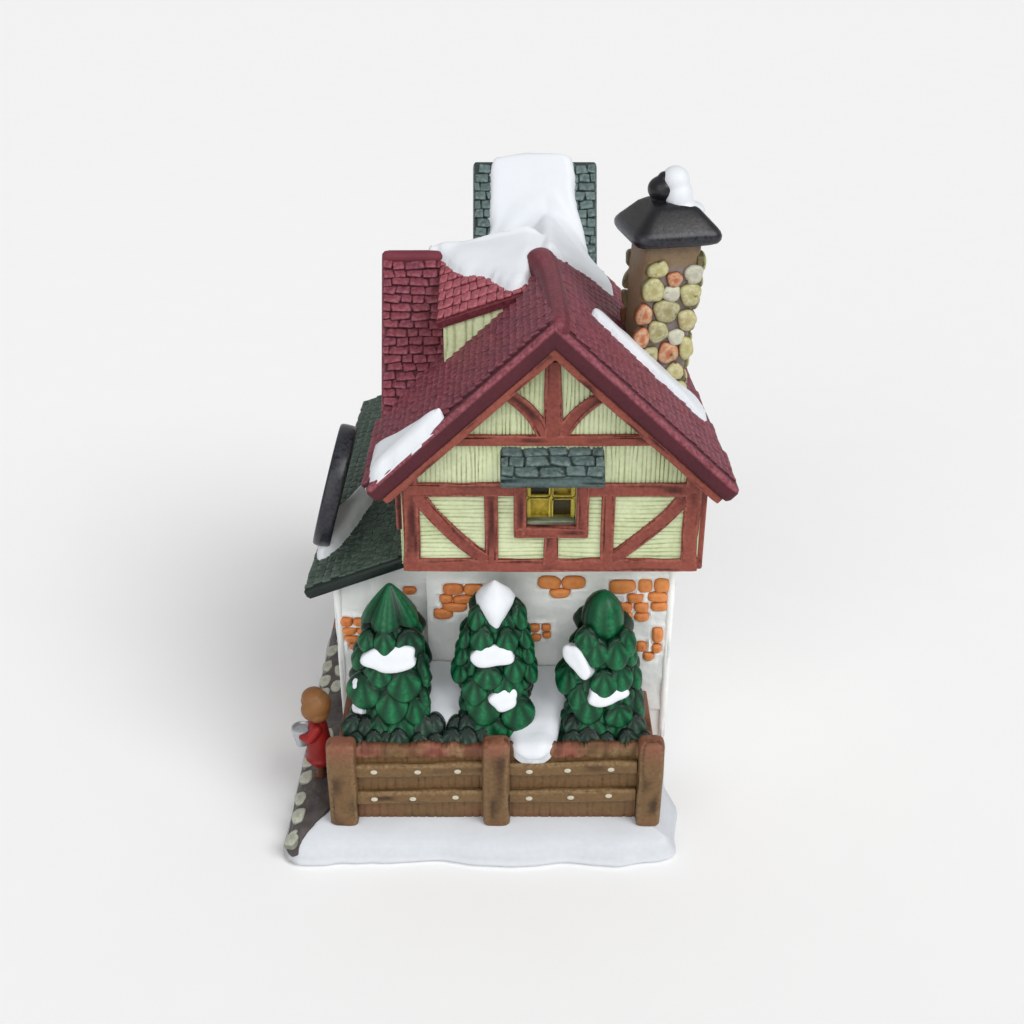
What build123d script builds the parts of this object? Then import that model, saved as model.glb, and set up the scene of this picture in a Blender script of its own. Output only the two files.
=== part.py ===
from build123d import *
import math
import os

os.makedirs("parts", exist_ok=True)

# Frame: the table is z = 0, the gable side faces -Y, the door front faces -X.
# All sizes are in millimetres and all angles in degrees.

# General
overrun = 4.0
fit_gap = 0.15
slide_gap = 0.3
wall = 3.5

# Snow base
base_width = 129.0
base_length = 188.0
base_center_x = -7.0
base_height = 9.0
base_corner = 7.0
base_bank = 4.5
base_foot = 1.2
base_wave = 1.1
base_wave_count = 19
base_shoulder_share = 0.45

# Lower and upper storey
house_center_x = 15.0
lower_width = 79.0
lower_near_y = -50.0
main_far_y = 30.0
jetty = 10.0
jetty_z = 91.0
soffit = 3.0
upper_width = 91.0

# Main gable roof, its ridge along Y
main_ridge_z = 175.5
main_half_span = 55.8
main_pitch = 43.2
main_thickness = 6.0
main_verge = 10.0
main_far_verge = 2.5
main_courses = 18
main_eave_draw = 9.0
ridge_roll = 3.6
course_step = 0.9
barge_height = 2.2
barge_depth = 3.0

# Front gable roof, its ridge along X
front_ridge_y = 6.0
front_ridge_z = 172.5
front_half_span = 29.5
front_pitch = 60.0
front_thickness = 5.0
front_verge = 9.0
front_courses = 14

# Tower and its roof, the ridge along X
tower_center_x = 11.0
tower_width = 36.0
tower_far_y = 66.5
tower_ridge_y = 42.5
tower_ridge_z = 192.5
tower_half_span = 28.0
tower_pitch = 60.0
tower_thickness = 4.0
tower_verge = 3.3
tower_courses = 13

# Front wing under its lean-to roof
wing_front_x = -54.0
wing_near_y = -46.5
wing_far_y = 68.0
wing_roof_near_y = -51.5
wing_roof_length = 124.0
wing_roof_overhang = 10.0
wing_eave_z = 79.0
wing_pitch = 20.8
wing_thickness = 3.5
wing_roof_run = 62.0
wing_roof_draw = 7.0
wing_roof_rise = 11.0
wing_courses = 14

# Shed dormer in the valley
dormer_left_x = -18.4
dormer_right_x = 8.0
dormer_near_y = -23.0
dormer_eave_z = 156.2
dormer_overhang = 2.4
dormer_thickness = 2.6
dormer_tilt = 18.7
dormer_pitch = 19.3
dormer_depth = 32.0

# Half-timbering
timber_depth = 1.8
post_width = 5.0
beam_width = 4.6
stud_width = 4.2
upper_beam_z = 119.5
collar_z = 136.0
brace_rise = 11.0
brace_run = 11.5

# Windows
window_width = 15.0
window_height = 16.0
window_z = 115.2
surround_width = 4.0
surround_depth = 2.4
sash_depth = 1.6
sash_bar = 1.5
pane_depth = 0.6
gable_window_width = 11.0
gable_window_height = 13.0
gable_window_z = 131.0
tower_window_width = 10.0
tower_window_height = 14.0
tower_window_z = 126.0
tower_window_y = 50.0
wing_window_z = 46.0
back_window_z = 106.0
awning_width = 31.3
awning_top_z = 133.4
awning_drop = 7.0
awning_depth = 10.0
awning_thickness = 2.4
awning_courses = 3

# Chimney
chimney_x = 47.5
chimney_y = -17.0
chimney_lean = 3.0
chimney_turn = 12.0
chimney_foot_width = 16.5
chimney_head_width = 18.6
chimney_foot_z = 128.0
chimney_head_z = 184.5
stone_radius = 2.9
stone_depth = 1.3
stone_taper = 28.0
stone_columns = 3
stone_rows = 6
cap_width = 27.5
cap_height = 11.0
knob_radius = 4.2
knob_height = 8.6

# Snow on the roofs
roof_snow = 2.6
eave_snow = 4.8
drift_depth = 7.2
saddle_near_y = -15.0

# Fence, planter and trees
fence_left_x = -51.2
fence_right_x = 47.2
fence_y = -81.5
post_depth = 7.0
fence_post_width = 8.6
fence_post_height = 32.0
board_height = 28.5
board_depth = 2.5
boards_per_bay = 8
board_gap = 0.4
rail_height = 4.6
rail_depth = 2.4
rail_low_z = 19.5
rail_high_z = 30.0
planter_side = 3.0
bed_z = 36.0
tree_y = -64.0
tree_heights = [53.0, 54.0, 50.0]
tree_radius_x = 14.0
tree_radius_y = 11.6
tree_tiers = 5
tree_leaves = 6
leaf_thickness = 1.6

# Clock on the wing roof
clock_x = -55.6
clock_y = -24.0
clock_z = 101.8
clock_radius = 20.6
clock_rim = 2.2
clock_depth = 5.6
clock_dial = 2.0
clock_lean = 15.0
clock_sides = 48
hand_depth = 0.6

# Entrance
door_y = 34.0
door_width = 16.0
door_height = 40.0
door_depth = 2.6
door_frame = 4.0
door_reveal = 10.0
door_step_height = 4.0
door_step_depth = 3.0

# Walk and figure
walk_thickness = 0.9
walk_left_x = -65.6
walk_near_y = -87.0
walk_far_y = 82.0
paver_radius = 3.1
paver_height = 0.8
paver_rows = 16
figure_x = -61.6
figure_y = -61.0
figure_height = 36.0

# Bricks
brick_length = 6.4
brick_height = 3.0
brick_depth = 1.4
brick_pitch = 6.9

# Lamp in the back wall
lamp_y = -10.0
lamp_z = 40.0
lamp_hole_radius = 13.0
lamp_flange_radius = 16.0
lamp_flange = 2.0
lamp_barrel_radius = 9.6
lamp_barrel_length = 19.0
lamp_socket_radius = 6.6
clip_width = 7.0
clip_length = 15.0
clip_thickness = 1.2
bulb_cap_radius = 6.2
bulb_cap_length = 15.0
bulb_radius = 10.0
bulb_length = 30.0
bulb_sides = 16
cord_hole_radius = 2.2

# Corners of a square, as shares of its width
corner_shares = [(-0.5, -0.5), (0.5, -0.5), (0.5, 0.5), (-0.5, 0.5)]

# Edges that follow from the sizes
lower_left_x = house_center_x - lower_width / 2
lower_right_x = house_center_x + lower_width / 2
upper_left_x = house_center_x - upper_width / 2
upper_right_x = house_center_x + upper_width / 2
upper_near_y = lower_near_y - jetty
main_verge_y = upper_near_y - main_verge
front_verge_x = upper_left_x - front_verge
tower_left_x = tower_center_x - tower_width / 2
tower_right_x = tower_center_x + tower_width / 2
wing_eave_x = wing_front_x - wing_roof_overhang
far_limit_y = base_length / 2
top_limit_z = tower_ridge_z + overrun


def near_plane(y):
    """A plane that faces the gable side; its x is X and its y is Z."""
    return Plane.XZ.offset(-y)


def front_plane(x):
    """A plane that faces the door front; its x is -Y and its y is Z."""
    return Plane(origin=(x, 0, 0), x_dir=(0, -1, 0), z_dir=(-1, 0, 0))


def back_plane(x):
    """A plane that faces the back; its x is Y and its y is Z."""
    return Plane.YZ.offset(x)


def prism(plane, points, amount, direction=None):
    """A polygon on a plane, carried along its normal or along a direction."""
    with BuildPart() as made:
        with BuildSketch(plane):
            with BuildLine():
                Polyline(*points, close=True)
            make_face()
        extrude(amount=amount, dir=direction)
    return made.part


def block(low, high):
    """A box between two corners."""
    size = [b - a for a, b in zip(low, high)]
    with BuildPart() as made:
        with Locations(low):
            Box(*size, align=(Align.MIN, Align.MIN, Align.MIN))
    return made.part


def polygon(radius, sides, turn=0.0):
    """The corners of a regular polygon."""
    angles = [math.radians(turn) + 2 * math.pi * index / sides for index in range(sides)]
    return [(radius * math.cos(angle), radius * math.sin(angle)) for angle in angles]


def rings(plane, levels, sides):
    """A faceted bulging body: levels are (height, radius) pairs along the plane's normal."""
    points = [(u, v, height) for height, radius in levels for u, v in polygon(radius, sides)]
    return ConvexPolyhedron([plane.from_local_coords(point) for point in points])


def raised(plane, place, outline, depth, shares):
    """A block on a plane whose outline draws in: shares are (height, size) pairs."""
    points = [
        (place[0] + u * size, place[1] + v * size, depth * up)
        for up, size in shares
        for u, v in outline
    ]
    return ConvexPolyhedron([plane.from_local_coords(point) for point in points])


def standing(x, y):
    """A level plane on the table, its origin under a body that stands there."""
    return Plane((x, y, 0))


def gable_section(center, ridge, half_span, pitch, thickness, courses):
    """Stepped outline of a gable roof slab across its ridge."""
    rise = math.tan(math.radians(pitch))
    out_u = math.sin(math.radians(pitch))
    out_z = math.cos(math.radians(pitch))
    steps = []
    for course in range(courses):
        reach = half_span * (1 - course / courses)
        above = half_span * (1 - (course + 1) / courses)
        steps.append((reach, ridge - reach * rise))
        if course < courses - 1:
            steps.append((above - course_step * out_u, ridge - above * rise - course_step * out_z))
    eave_z = ridge - half_span * rise
    foot = (half_span - thickness * out_u, eave_z - thickness * out_z)
    right = [(center + u, z) for u, z in [foot] + steps]
    left = [(center - u, z) for u, z in reversed([foot] + steps)]
    return right + [(center, ridge)] + left + [(center, ridge - thickness / out_z)]


def gable_cover(center, ridge, half_span, pitch, depth, floor_z):
    """Everything under a gable's slopes, lowered by depth square to the slope."""
    slope = math.radians(pitch)
    top = ridge - depth / math.cos(slope)
    eave = top - half_span * math.tan(slope)
    low = min(floor_z, eave - overrun)
    return [
        (center - half_span, low),
        (center + half_span, low),
        (center + half_span, eave),
        (center, top),
        (center - half_span, eave),
    ]


main_sizes = (house_center_x, main_ridge_z, main_half_span, main_pitch)
front_sizes = (front_ridge_y, front_ridge_z, front_half_span, front_pitch)
tower_sizes = (tower_ridge_y, tower_ridge_z, tower_half_span, tower_pitch)
main_length = main_far_y + main_far_verge - main_verge_y
front_length = house_center_x - front_verge_x
tower_roof_left_x = tower_left_x - tower_verge
tower_roof_width = tower_width + 2 * tower_verge


def main_cover(depth):
    points = gable_cover(*main_sizes, depth, jetty_z)
    return prism(near_plane(main_far_y + main_far_verge), points, main_length)


def front_cover(depth):
    points = gable_cover(*front_sizes, depth, jetty_z + beam_width)
    start = back_plane(front_verge_x - overrun)
    return prism(start, points, front_length + overrun)


def tower_cover(depth):
    points = gable_cover(*tower_sizes, depth, jetty_z + beam_width)
    return prism(back_plane(tower_roof_left_x), points, tower_roof_width)


# Envelopes that the pieces are trimmed by
main_outer = main_cover(0)
main_inner = main_cover(main_thickness)
front_outer = front_cover(0)
tower_block = block(
    (tower_left_x, main_far_y, base_height),
    (tower_right_x, tower_far_y, top_limit_z),
)

# Wing roof: a section that runs back with a slight draw and rise
wing_direction = (wing_roof_draw, wing_roof_length, wing_roof_rise)
wing_travel = math.hypot(*wing_direction)
wing_slope = math.tan(math.radians(wing_pitch))
wing_drop = wing_thickness / math.cos(math.radians(wing_pitch))
wing_top_x = wing_eave_x + wing_roof_run
wing_top_z = wing_eave_z + wing_roof_run * wing_slope


def wing_section():
    """The wing roof's slab with stepped courses."""
    outline = [(wing_eave_x, wing_eave_z - wing_drop)]
    for course in range(wing_courses):
        reach = wing_roof_run * course / wing_courses
        above = wing_roof_run * (course + 1) / wing_courses
        outline.append((wing_eave_x + reach, wing_eave_z + reach * wing_slope))
        outline.append((wing_eave_x + above, wing_eave_z + above * wing_slope - course_step))
    return outline + [(wing_top_x, wing_top_z - wing_drop)]


def wing_flat(top, bottom):
    """The wing roof's section between two heights over and under its slope line."""
    return [
        (wing_eave_x, wing_eave_z + bottom),
        (wing_top_x, wing_top_z + bottom),
        (wing_top_x, wing_top_z + top),
        (wing_eave_x, wing_eave_z + top),
    ]


wing_near = near_plane(wing_roof_near_y)
wing_outer = prism(wing_near, wing_flat(0, -wing_drop), wing_travel, wing_direction)
wing_under = prism(
    wing_near,
    [
        (wing_eave_x, 0),
        (wing_top_x, 0),
        (wing_top_x, wing_top_z - wing_drop),
        (wing_eave_x, wing_eave_z - wing_drop),
    ],
    wing_travel,
    wing_direction,
)

# Dormer roof: a slab tilted along X that climbs back to the ridge
dormer_direction = (0, 1, math.tan(math.radians(dormer_pitch)))
dormer_travel = dormer_depth * math.hypot(*dormer_direction)
dormer_start_x = dormer_left_x - dormer_overhang
dormer_climb = (dormer_right_x - dormer_start_x) * math.tan(math.radians(dormer_tilt))
dormer_near = near_plane(dormer_near_y - dormer_overhang)


def dormer_slab(bottom, top):
    points = [
        (dormer_start_x, dormer_eave_z + bottom),
        (dormer_right_x, dormer_eave_z + dormer_climb + bottom),
        (dormer_right_x, dormer_eave_z + dormer_climb + top),
        (dormer_start_x, dormer_eave_z + top),
    ]
    return prism(dormer_near, points, dormer_travel, dormer_direction)


# The snow base, a bank with a wavy foot
def bank_points(inset):
    frame = RectangleRounded(base_width - 2 * inset, base_length - 2 * inset, base_corner).wire()
    count = 4 * base_wave_count
    points = []
    for index in range(count):
        place = frame.position_at(index / count)
        run = frame.tangent_at(index / count)
        swell = base_wave * math.sin(2 * math.pi * base_wave_count * index / count)
        points.append((base_center_x + place.X + run.Y * swell, place.Y - run.X * swell))
    return points


bank_outline = bank_points(base_wave)
with BuildPart() as snow_base:
    with BuildSketch():
        with BuildLine():
            Polyline(*bank_outline, close=True)
        make_face()
    extrude(amount=base_height)
    top_edges = snow_base.faces().sort_by(Axis.Z)[-1].edges()
    chamfer(top_edges, base_height * (1 - base_shoulder_share), base_bank)
    foot_edges = snow_base.faces().sort_by(Axis.Z)[0].edges()
    chamfer(foot_edges, base_foot)

# Front walk and its pavers
walk_slab = block(
    (walk_left_x, walk_near_y, base_height),
    (wing_front_x - fit_gap, walk_far_y, base_height + walk_thickness),
)
step_left_x = wing_front_x - door_reveal - door_step_depth
portal_half = door_width / 2 + door_frame
portal_block = block(
    (step_left_x, door_y - portal_half, base_height),
    (wing_front_x, door_y + portal_half, base_height + door_height + door_frame),
)
corner_post = block(
    (fence_left_x - fence_post_width / 2, fence_y - post_depth / 2, base_height),
    (fence_left_x, fence_y + post_depth / 2, base_height + fence_post_height),
)
with BuildPart() as garden_walk:
    add(walk_slab)
    add(portal_block, mode=Mode.SUBTRACT)
    add(corner_post, mode=Mode.SUBTRACT)

paver_shares = [0.2, 0.62]
walk_width = wing_front_x - walk_left_x
with BuildPart() as walk_stones:
    walk_top = Plane.XY.offset(base_height + walk_thickness)
    with BuildSketch(walk_top):
        for row in range(paver_rows):
            share = (row + 0.5) / paver_rows
            side = paver_shares[row % len(paver_shares)]
            place_x = walk_left_x + paver_radius + side * (walk_width - 2 * paver_radius)
            place_y = walk_near_y + share * (walk_far_y - walk_near_y)
            clear_figure = abs(place_y - figure_y) > 2 * paver_radius
            clear_door = abs(place_y - door_y) > portal_half + paver_radius
            if clear_figure and clear_door:
                with Locations((place_x, place_y)):
                    RegularPolygon(paver_radius, 7, rotation=row * 25)
    extrude(amount=paver_height, taper=stone_taper)

# Walls
lamp_spot = (lamp_y, lamp_z)
lower_box = block(
    (lower_left_x, lower_near_y, base_height),
    (lower_right_x, main_far_y, jetty_z),
)
lower_room = block(
    (lower_left_x + wall, lower_near_y + wall, base_height),
    (lower_right_x - wall, main_far_y - wall, jetty_z + soffit),
)
with BuildPart() as lower_walls:
    add(lower_box)
    add(lower_room, mode=Mode.SUBTRACT)
    with BuildSketch(back_plane(lower_right_x)):
        with Locations(lamp_spot):
            Circle(lamp_hole_radius)
    extrude(amount=-wall, mode=Mode.SUBTRACT)

# Windows by side: plane, place along the plane, height, and the opening's width and height
gable_size = (gable_window_z, gable_window_width, gable_window_height)
tower_size = (tower_window_z, tower_window_width, tower_window_height)
window_list = {
    "side": [(near_plane(upper_near_y), house_center_x, window_z, window_width, window_height)],
    "front": [
        (front_plane(wing_front_x), -clock_y, wing_window_z, window_width, window_height),
        (front_plane(upper_left_x), -front_ridge_y, *gable_size),
        (front_plane(tower_left_x), -tower_window_y, *tower_size),
    ],
    "back": [
        (back_plane(upper_right_x), lamp_y, back_window_z, window_width, window_height),
        (back_plane(tower_right_x), tower_window_y, *tower_size),
    ],
}


def window_holes(names):
    """The wall cut of the named windows."""
    with BuildPart() as made:
        for name in names:
            for plane, along, height, wide, tall in window_list[name]:
                with BuildSketch(plane):
                    with Locations((along, height)):
                        Rectangle(wide, tall)
                extrude(amount=-wall - overrun / 2)
    return made.part


holes = window_holes(["side", "front", "back"])
eave_wall_z = (
    main_ridge_z
    - main_thickness / math.cos(math.radians(main_pitch))
    - upper_width / 2 * math.tan(math.radians(main_pitch))
)
upper_top_z = main_ridge_z - main_thickness / math.cos(math.radians(main_pitch))
front_top_z = front_ridge_z - front_thickness / math.cos(math.radians(front_pitch))
front_wall_half = (front_top_z - eave_wall_z) / math.tan(math.radians(front_pitch))
upper_shape = prism(
    near_plane(main_far_y),
    [
        (upper_left_x, jetty_z),
        (upper_right_x, jetty_z),
        (upper_right_x, eave_wall_z),
        (house_center_x, upper_top_z),
        (upper_left_x, eave_wall_z),
    ],
    main_far_y - upper_near_y,
)
front_gable_shape = prism(
    back_plane(upper_left_x),
    [
        (front_ridge_y - front_wall_half, eave_wall_z),
        (front_ridge_y + front_wall_half, eave_wall_z),
        (front_ridge_y, front_top_z),
    ],
    house_center_x - upper_left_x,
)
upper_room = block(
    (upper_left_x + wall, upper_near_y + wall, jetty_z + soffit),
    (upper_right_x - wall, main_far_y - wall, top_limit_z),
)
with BuildPart() as upper_walls:
    add(upper_shape)
    add(front_gable_shape)
    add(upper_room, mode=Mode.SUBTRACT)
    add(lower_room, mode=Mode.SUBTRACT)
    add(holes, mode=Mode.SUBTRACT)

upper_solid = block(
    (upper_left_x, upper_near_y, jetty_z),
    (upper_right_x, main_far_y, top_limit_z),
)
wing_outside = block(
    (wing_front_x, wing_near_y, base_height),
    (tower_left_x, wing_far_y, top_limit_z),
)
wing_room = block(
    (wing_front_x + wall, wing_near_y + wall, base_height),
    (tower_left_x + overrun, wing_far_y - wall, top_limit_z),
)
with BuildPart() as wing_walls:
    add(wing_outside)
    add(wing_under, mode=Mode.INTERSECT)
    add(wing_room, mode=Mode.SUBTRACT)
    add(lower_box, mode=Mode.SUBTRACT)
    add(upper_solid, mode=Mode.SUBTRACT)
    add(holes, mode=Mode.SUBTRACT)
    with BuildSketch(front_plane(wing_front_x)):
        with Locations((-door_y, base_height)):
            Rectangle(door_width, door_height, align=(Align.CENTER, Align.MIN))
    extrude(amount=-wall, mode=Mode.SUBTRACT)

tower_top_z = tower_ridge_z - tower_thickness / math.cos(math.radians(tower_pitch))
tower_rise = math.tan(math.radians(tower_pitch))
tower_shape = prism(
    back_plane(tower_left_x),
    [
        (main_far_y, base_height),
        (tower_far_y, base_height),
        (tower_far_y, tower_top_z - (tower_far_y - tower_ridge_y) * tower_rise),
        (tower_ridge_y, tower_top_z),
        (main_far_y, tower_top_z - (tower_ridge_y - main_far_y) * tower_rise),
    ],
    tower_width,
)
tower_room = block(
    (tower_left_x + wall, main_far_y - overrun, base_height),
    (tower_right_x - wall, tower_far_y - wall, top_limit_z),
)
with BuildPart() as tower_walls:
    add(tower_shape)
    add(tower_room, mode=Mode.SUBTRACT)
    add(holes, mode=Mode.SUBTRACT)

# Roofs
eave_draw_right = prism(
    Plane.XY.offset(jetty_z),
    [
        (house_center_x + main_half_span, upper_near_y),
        (house_center_x + main_half_span + overrun, upper_near_y),
        (house_center_x + main_half_span + overrun, main_far_y + overrun),
        (house_center_x + main_half_span - main_eave_draw, main_far_y + overrun),
    ],
    top_limit_z - jetty_z,
)
with BuildPart() as main_roof:
    with BuildSketch(near_plane(main_far_y + main_far_verge)):
        with BuildLine():
            Polyline(*gable_section(*main_sizes, main_thickness, main_courses), close=True)
        make_face()
    extrude(amount=main_length)
    roll_z = main_ridge_z - ridge_roll * main_thickness / (main_thickness + ridge_roll)
    with BuildSketch(near_plane(main_far_y + main_far_verge)):
        with Locations((house_center_x, roll_z)):
            RegularPolygon(ridge_roll, 12)
    extrude(amount=main_length)
    add(eave_draw_right, mode=Mode.SUBTRACT)
    add(front_outer, mode=Mode.SUBTRACT)
    add(tower_block, mode=Mode.SUBTRACT)

with BuildPart() as front_gable_roof:
    with BuildSketch(back_plane(front_verge_x)):
        with BuildLine():
            Polyline(*gable_section(*front_sizes, front_thickness, front_courses), close=True)
        make_face()
    extrude(amount=front_length)
    add(main_inner, mode=Mode.SUBTRACT)
    add(tower_block, mode=Mode.SUBTRACT)
    add(upper_walls.part, mode=Mode.SUBTRACT)
    add(main_roof.part, mode=Mode.SUBTRACT)

with BuildPart() as tower_roof:
    with BuildSketch(back_plane(tower_roof_left_x)):
        with BuildLine():
            Polyline(*gable_section(*tower_sizes, tower_thickness, tower_courses), close=True)
        make_face()
    extrude(amount=tower_roof_width)
    add(main_outer, mode=Mode.SUBTRACT)
    add(front_outer, mode=Mode.SUBTRACT)
    add(main_roof.part, mode=Mode.SUBTRACT)

with BuildPart() as wing_roof:
    with BuildSketch(wing_near):
        with BuildLine():
            Polyline(*wing_section(), close=True)
        make_face()
    extrude(amount=wing_travel, dir=wing_direction)
    main_keep_out = (upper_left_x, upper_near_y, base_height)
    with Locations(main_keep_out):
        Box(
            upper_width,
            main_far_y - upper_near_y,
            top_limit_z,
            align=(Align.MIN, Align.MIN, Align.MIN),
            mode=Mode.SUBTRACT,
        )
    add(tower_block, mode=Mode.SUBTRACT)
    far_start = (tower_left_x, main_far_y, base_height)
    with Locations(far_start):
        Box(
            upper_width,
            far_limit_y,
            top_limit_z,
            align=(Align.MIN, Align.MIN, Align.MIN),
            mode=Mode.SUBTRACT,
        )

dormer_solid = dormer_slab(0, dormer_thickness)
dormer_under = dormer_slab(-3 * dormer_climb, 0)
with BuildPart() as dormer_roof:
    add(dormer_solid)
    add(front_outer, mode=Mode.SUBTRACT)
    add(main_outer, mode=Mode.SUBTRACT)

dormer_box = block(
    (dormer_left_x, dormer_near_y, jetty_z),
    (dormer_right_x, dormer_near_y + dormer_depth, top_limit_z),
)
with BuildPart() as dormer_walls:
    add(dormer_box)
    add(dormer_under, mode=Mode.INTERSECT)
    add(front_outer, mode=Mode.SUBTRACT)
    add(main_outer, mode=Mode.SUBTRACT)

barge_outline = gable_cover(*main_sizes, main_thickness, jetty_z)
barge_inline = gable_cover(*main_sizes, main_thickness + barge_height, jetty_z)
barge_y = main_verge_y + barge_depth / 2
with BuildPart() as barge_boards:
    with BuildSketch(near_plane(barge_y + barge_depth)):
        with BuildLine():
            Polyline(*barge_outline, close=True)
        make_face()
        with BuildLine():
            Polyline(*barge_inline, close=True)
        make_face(mode=Mode.SUBTRACT)
        with Locations((house_center_x, jetty_z)):
            Rectangle(
                2 * main_half_span + overrun,
                2 * (eave_wall_z - jetty_z) - 2 * barge_depth,
                mode=Mode.SUBTRACT,
            )
    extrude(amount=barge_depth)


# Half-timbering: each wall's beams are traced lines, cut from one sheet
def beams(plane, groups, cut_outs, depth):
    """Timbers on a wall: groups are (width, [(start, end)]) and cut-outs are window sizes."""
    with BuildPart() as made:
        with BuildSketch(plane) as sheet:
            for width, lines in groups:
                with BuildLine() as runs:
                    for start, end in lines:
                        Line(start, end)
                trace(runs.line, line_width=width)
            for along, height, wide, tall in cut_outs:
                with Locations((along, height)):
                    Rectangle(wide, tall, mode=Mode.SUBTRACT)
        extrude(sheet.sketch, amount=depth)
    return made.part


def surround_cut(name, index):
    plane, along, height, wide, tall = window_list[name][index]
    return (along, height, wide + 2 * surround_width, tall + 2 * surround_width)


half_post = post_width / 2
half_beam = beam_width / 2
near_left = upper_left_x + half_post
near_right = upper_right_x - half_post
sill_z = jetty_z + half_beam
inner_shares = [0.30, 0.69]
inner_left = upper_left_x + inner_shares[0] * upper_width
inner_right = upper_left_x + inner_shares[1] * upper_width
collar_half = (upper_top_z - collar_z) / math.tan(math.radians(main_pitch)) - post_width
near_groups = [
    (post_width, [((near_left, jetty_z), (near_left, eave_wall_z)),
                  ((near_right, jetty_z), (near_right, eave_wall_z)),
                  ((house_center_x, collar_z), (house_center_x, upper_top_z - 2 * post_width))]),
    (beam_width, [((upper_left_x, sill_z), (upper_right_x, sill_z)),
                  ((upper_left_x, upper_beam_z), (upper_right_x, upper_beam_z))]),
    (stud_width, [((house_center_x - collar_half, collar_z), (house_center_x + collar_half, collar_z)),
                  ((inner_left, jetty_z), (inner_left, upper_beam_z)),
                  ((inner_right, jetty_z), (inner_right, upper_beam_z)),
                  ((near_left, upper_beam_z), (inner_left, sill_z)),
                  ((near_right, upper_beam_z), (inner_right, sill_z)),
                  ((house_center_x, collar_z), (house_center_x - brace_run, collar_z + brace_rise)),
                  ((house_center_x, collar_z), (house_center_x + brace_run, collar_z + brace_rise)),
                  ((house_center_x, jetty_z), (house_center_x, upper_beam_z))]),
]
timber_side = beams(near_plane(upper_near_y), near_groups, [surround_cut("side", 0)], timber_depth)

front_near = -upper_near_y - half_post
front_far = -main_far_y + half_post
front_mid = -front_ridge_y
front_stud = front_mid + front_wall_half
front_left = front_mid - gable_window_width
front_right = front_mid + gable_window_width
front_tie_z = gable_window_z + gable_window_height / 2 + surround_width + stud_width / 2
front_groups = [
    (post_width, [((front_near, jetty_z), (front_near, eave_wall_z)),
                  ((front_far, jetty_z), (front_far, eave_wall_z))]),
    (beam_width, [((-upper_near_y, upper_beam_z), (-main_far_y, upper_beam_z))]),
    (stud_width, [((front_stud, jetty_z), (front_stud, upper_beam_z)),
                  ((front_stud, upper_beam_z), (front_near, jetty_z + 2 * beam_width)),
                  ((front_left, upper_beam_z), (front_left, front_top_z)),
                  ((front_right, upper_beam_z), (front_right, front_top_z)),
                  ((front_mid, front_tie_z), (front_mid, front_top_z)),
                  ((front_mid - front_wall_half, front_tie_z), (front_mid + front_wall_half, front_tie_z))]),
]
timber_front = beams(front_plane(upper_left_x), front_groups, [surround_cut("front", 1)], timber_depth)

back_groups = [
    (post_width, [((upper_near_y + half_post, jetty_z), (upper_near_y + half_post, eave_wall_z)),
                  ((main_far_y - half_post, jetty_z), (main_far_y - half_post, eave_wall_z))]),
    (beam_width, [((upper_near_y, sill_z), (main_far_y, sill_z)),
                  ((upper_near_y, upper_beam_z), (main_far_y, upper_beam_z))]),
    (stud_width, [((lamp_y - window_width, jetty_z), (lamp_y - window_width, upper_beam_z)),
                  ((lamp_y + window_width, jetty_z), (lamp_y + window_width, upper_beam_z))]),
]
timber_back = beams(back_plane(upper_right_x), back_groups, [surround_cut("back", 0)], timber_depth)

gable_sheet = prism(
    back_plane(upper_left_x - timber_depth),
    [
        (upper_near_y, jetty_z),
        (main_far_y, jetty_z),
        (main_far_y, eave_wall_z),
        (front_ridge_y + front_wall_half, eave_wall_z),
        (front_ridge_y, front_top_z),
        (front_ridge_y - front_wall_half, eave_wall_z),
        (upper_near_y, eave_wall_z),
    ],
    timber_depth,
)
with BuildPart() as timber_frame:
    add(timber_side)
with BuildPart() as timber_frame_front:
    add(timber_front)
    add(gable_sheet, mode=Mode.INTERSECT)
    add(wing_outer, mode=Mode.SUBTRACT)
    add(main_roof.part, mode=Mode.SUBTRACT)
    add(front_gable_roof.part, mode=Mode.SUBTRACT)
with BuildPart() as timber_frame_back:
    add(timber_back)
    add(main_roof.part, mode=Mode.SUBTRACT)


# Windows: a surround on the wall, a barred sash and panes in the opening
def surrounds(name):
    with BuildPart() as made:
        for plane, along, height, wide, tall in window_list[name]:
            with BuildSketch(plane):
                with Locations((along, height)):
                    Rectangle(wide + 2 * surround_width, tall + 2 * surround_width)
                    Rectangle(wide, tall, mode=Mode.SUBTRACT)
            extrude(amount=surround_depth)
    return made.part


def sashes(name):
    with BuildPart() as made:
        for plane, along, height, wide, tall in window_list[name]:
            with BuildSketch(plane.offset(-wall)):
                with Locations((along, height)):
                    Rectangle(wide - fit_gap, tall - fit_gap)
                    Rectangle(wide - 2 * sash_bar, tall - 2 * sash_bar, mode=Mode.SUBTRACT)
                    Rectangle(sash_bar, tall - fit_gap)
                    Rectangle(wide - fit_gap, sash_bar)
            extrude(amount=sash_depth)
    return made.part


def panes(name):
    with BuildPart() as made:
        for plane, along, height, wide, tall in window_list[name]:
            with BuildSketch(plane.offset(-wall - pane_depth)):
                with Locations((along, height)):
                    Rectangle(wide + sash_bar, tall + sash_bar)
            extrude(amount=pane_depth)
    return made.part


with BuildPart() as side_window_surround:
    add(surrounds("side"))
with BuildPart() as side_window_sash:
    add(sashes("side"))
with BuildPart() as front_window_surrounds:
    add(surrounds("front"))
with BuildPart() as front_window_sashes:
    add(sashes("front"))
with BuildPart() as back_window_surrounds:
    add(surrounds("back"))
with BuildPart() as back_window_sashes:
    add(sashes("back"))
with BuildPart() as window_panes:
    for name in window_list:
        add(panes(name))

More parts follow.
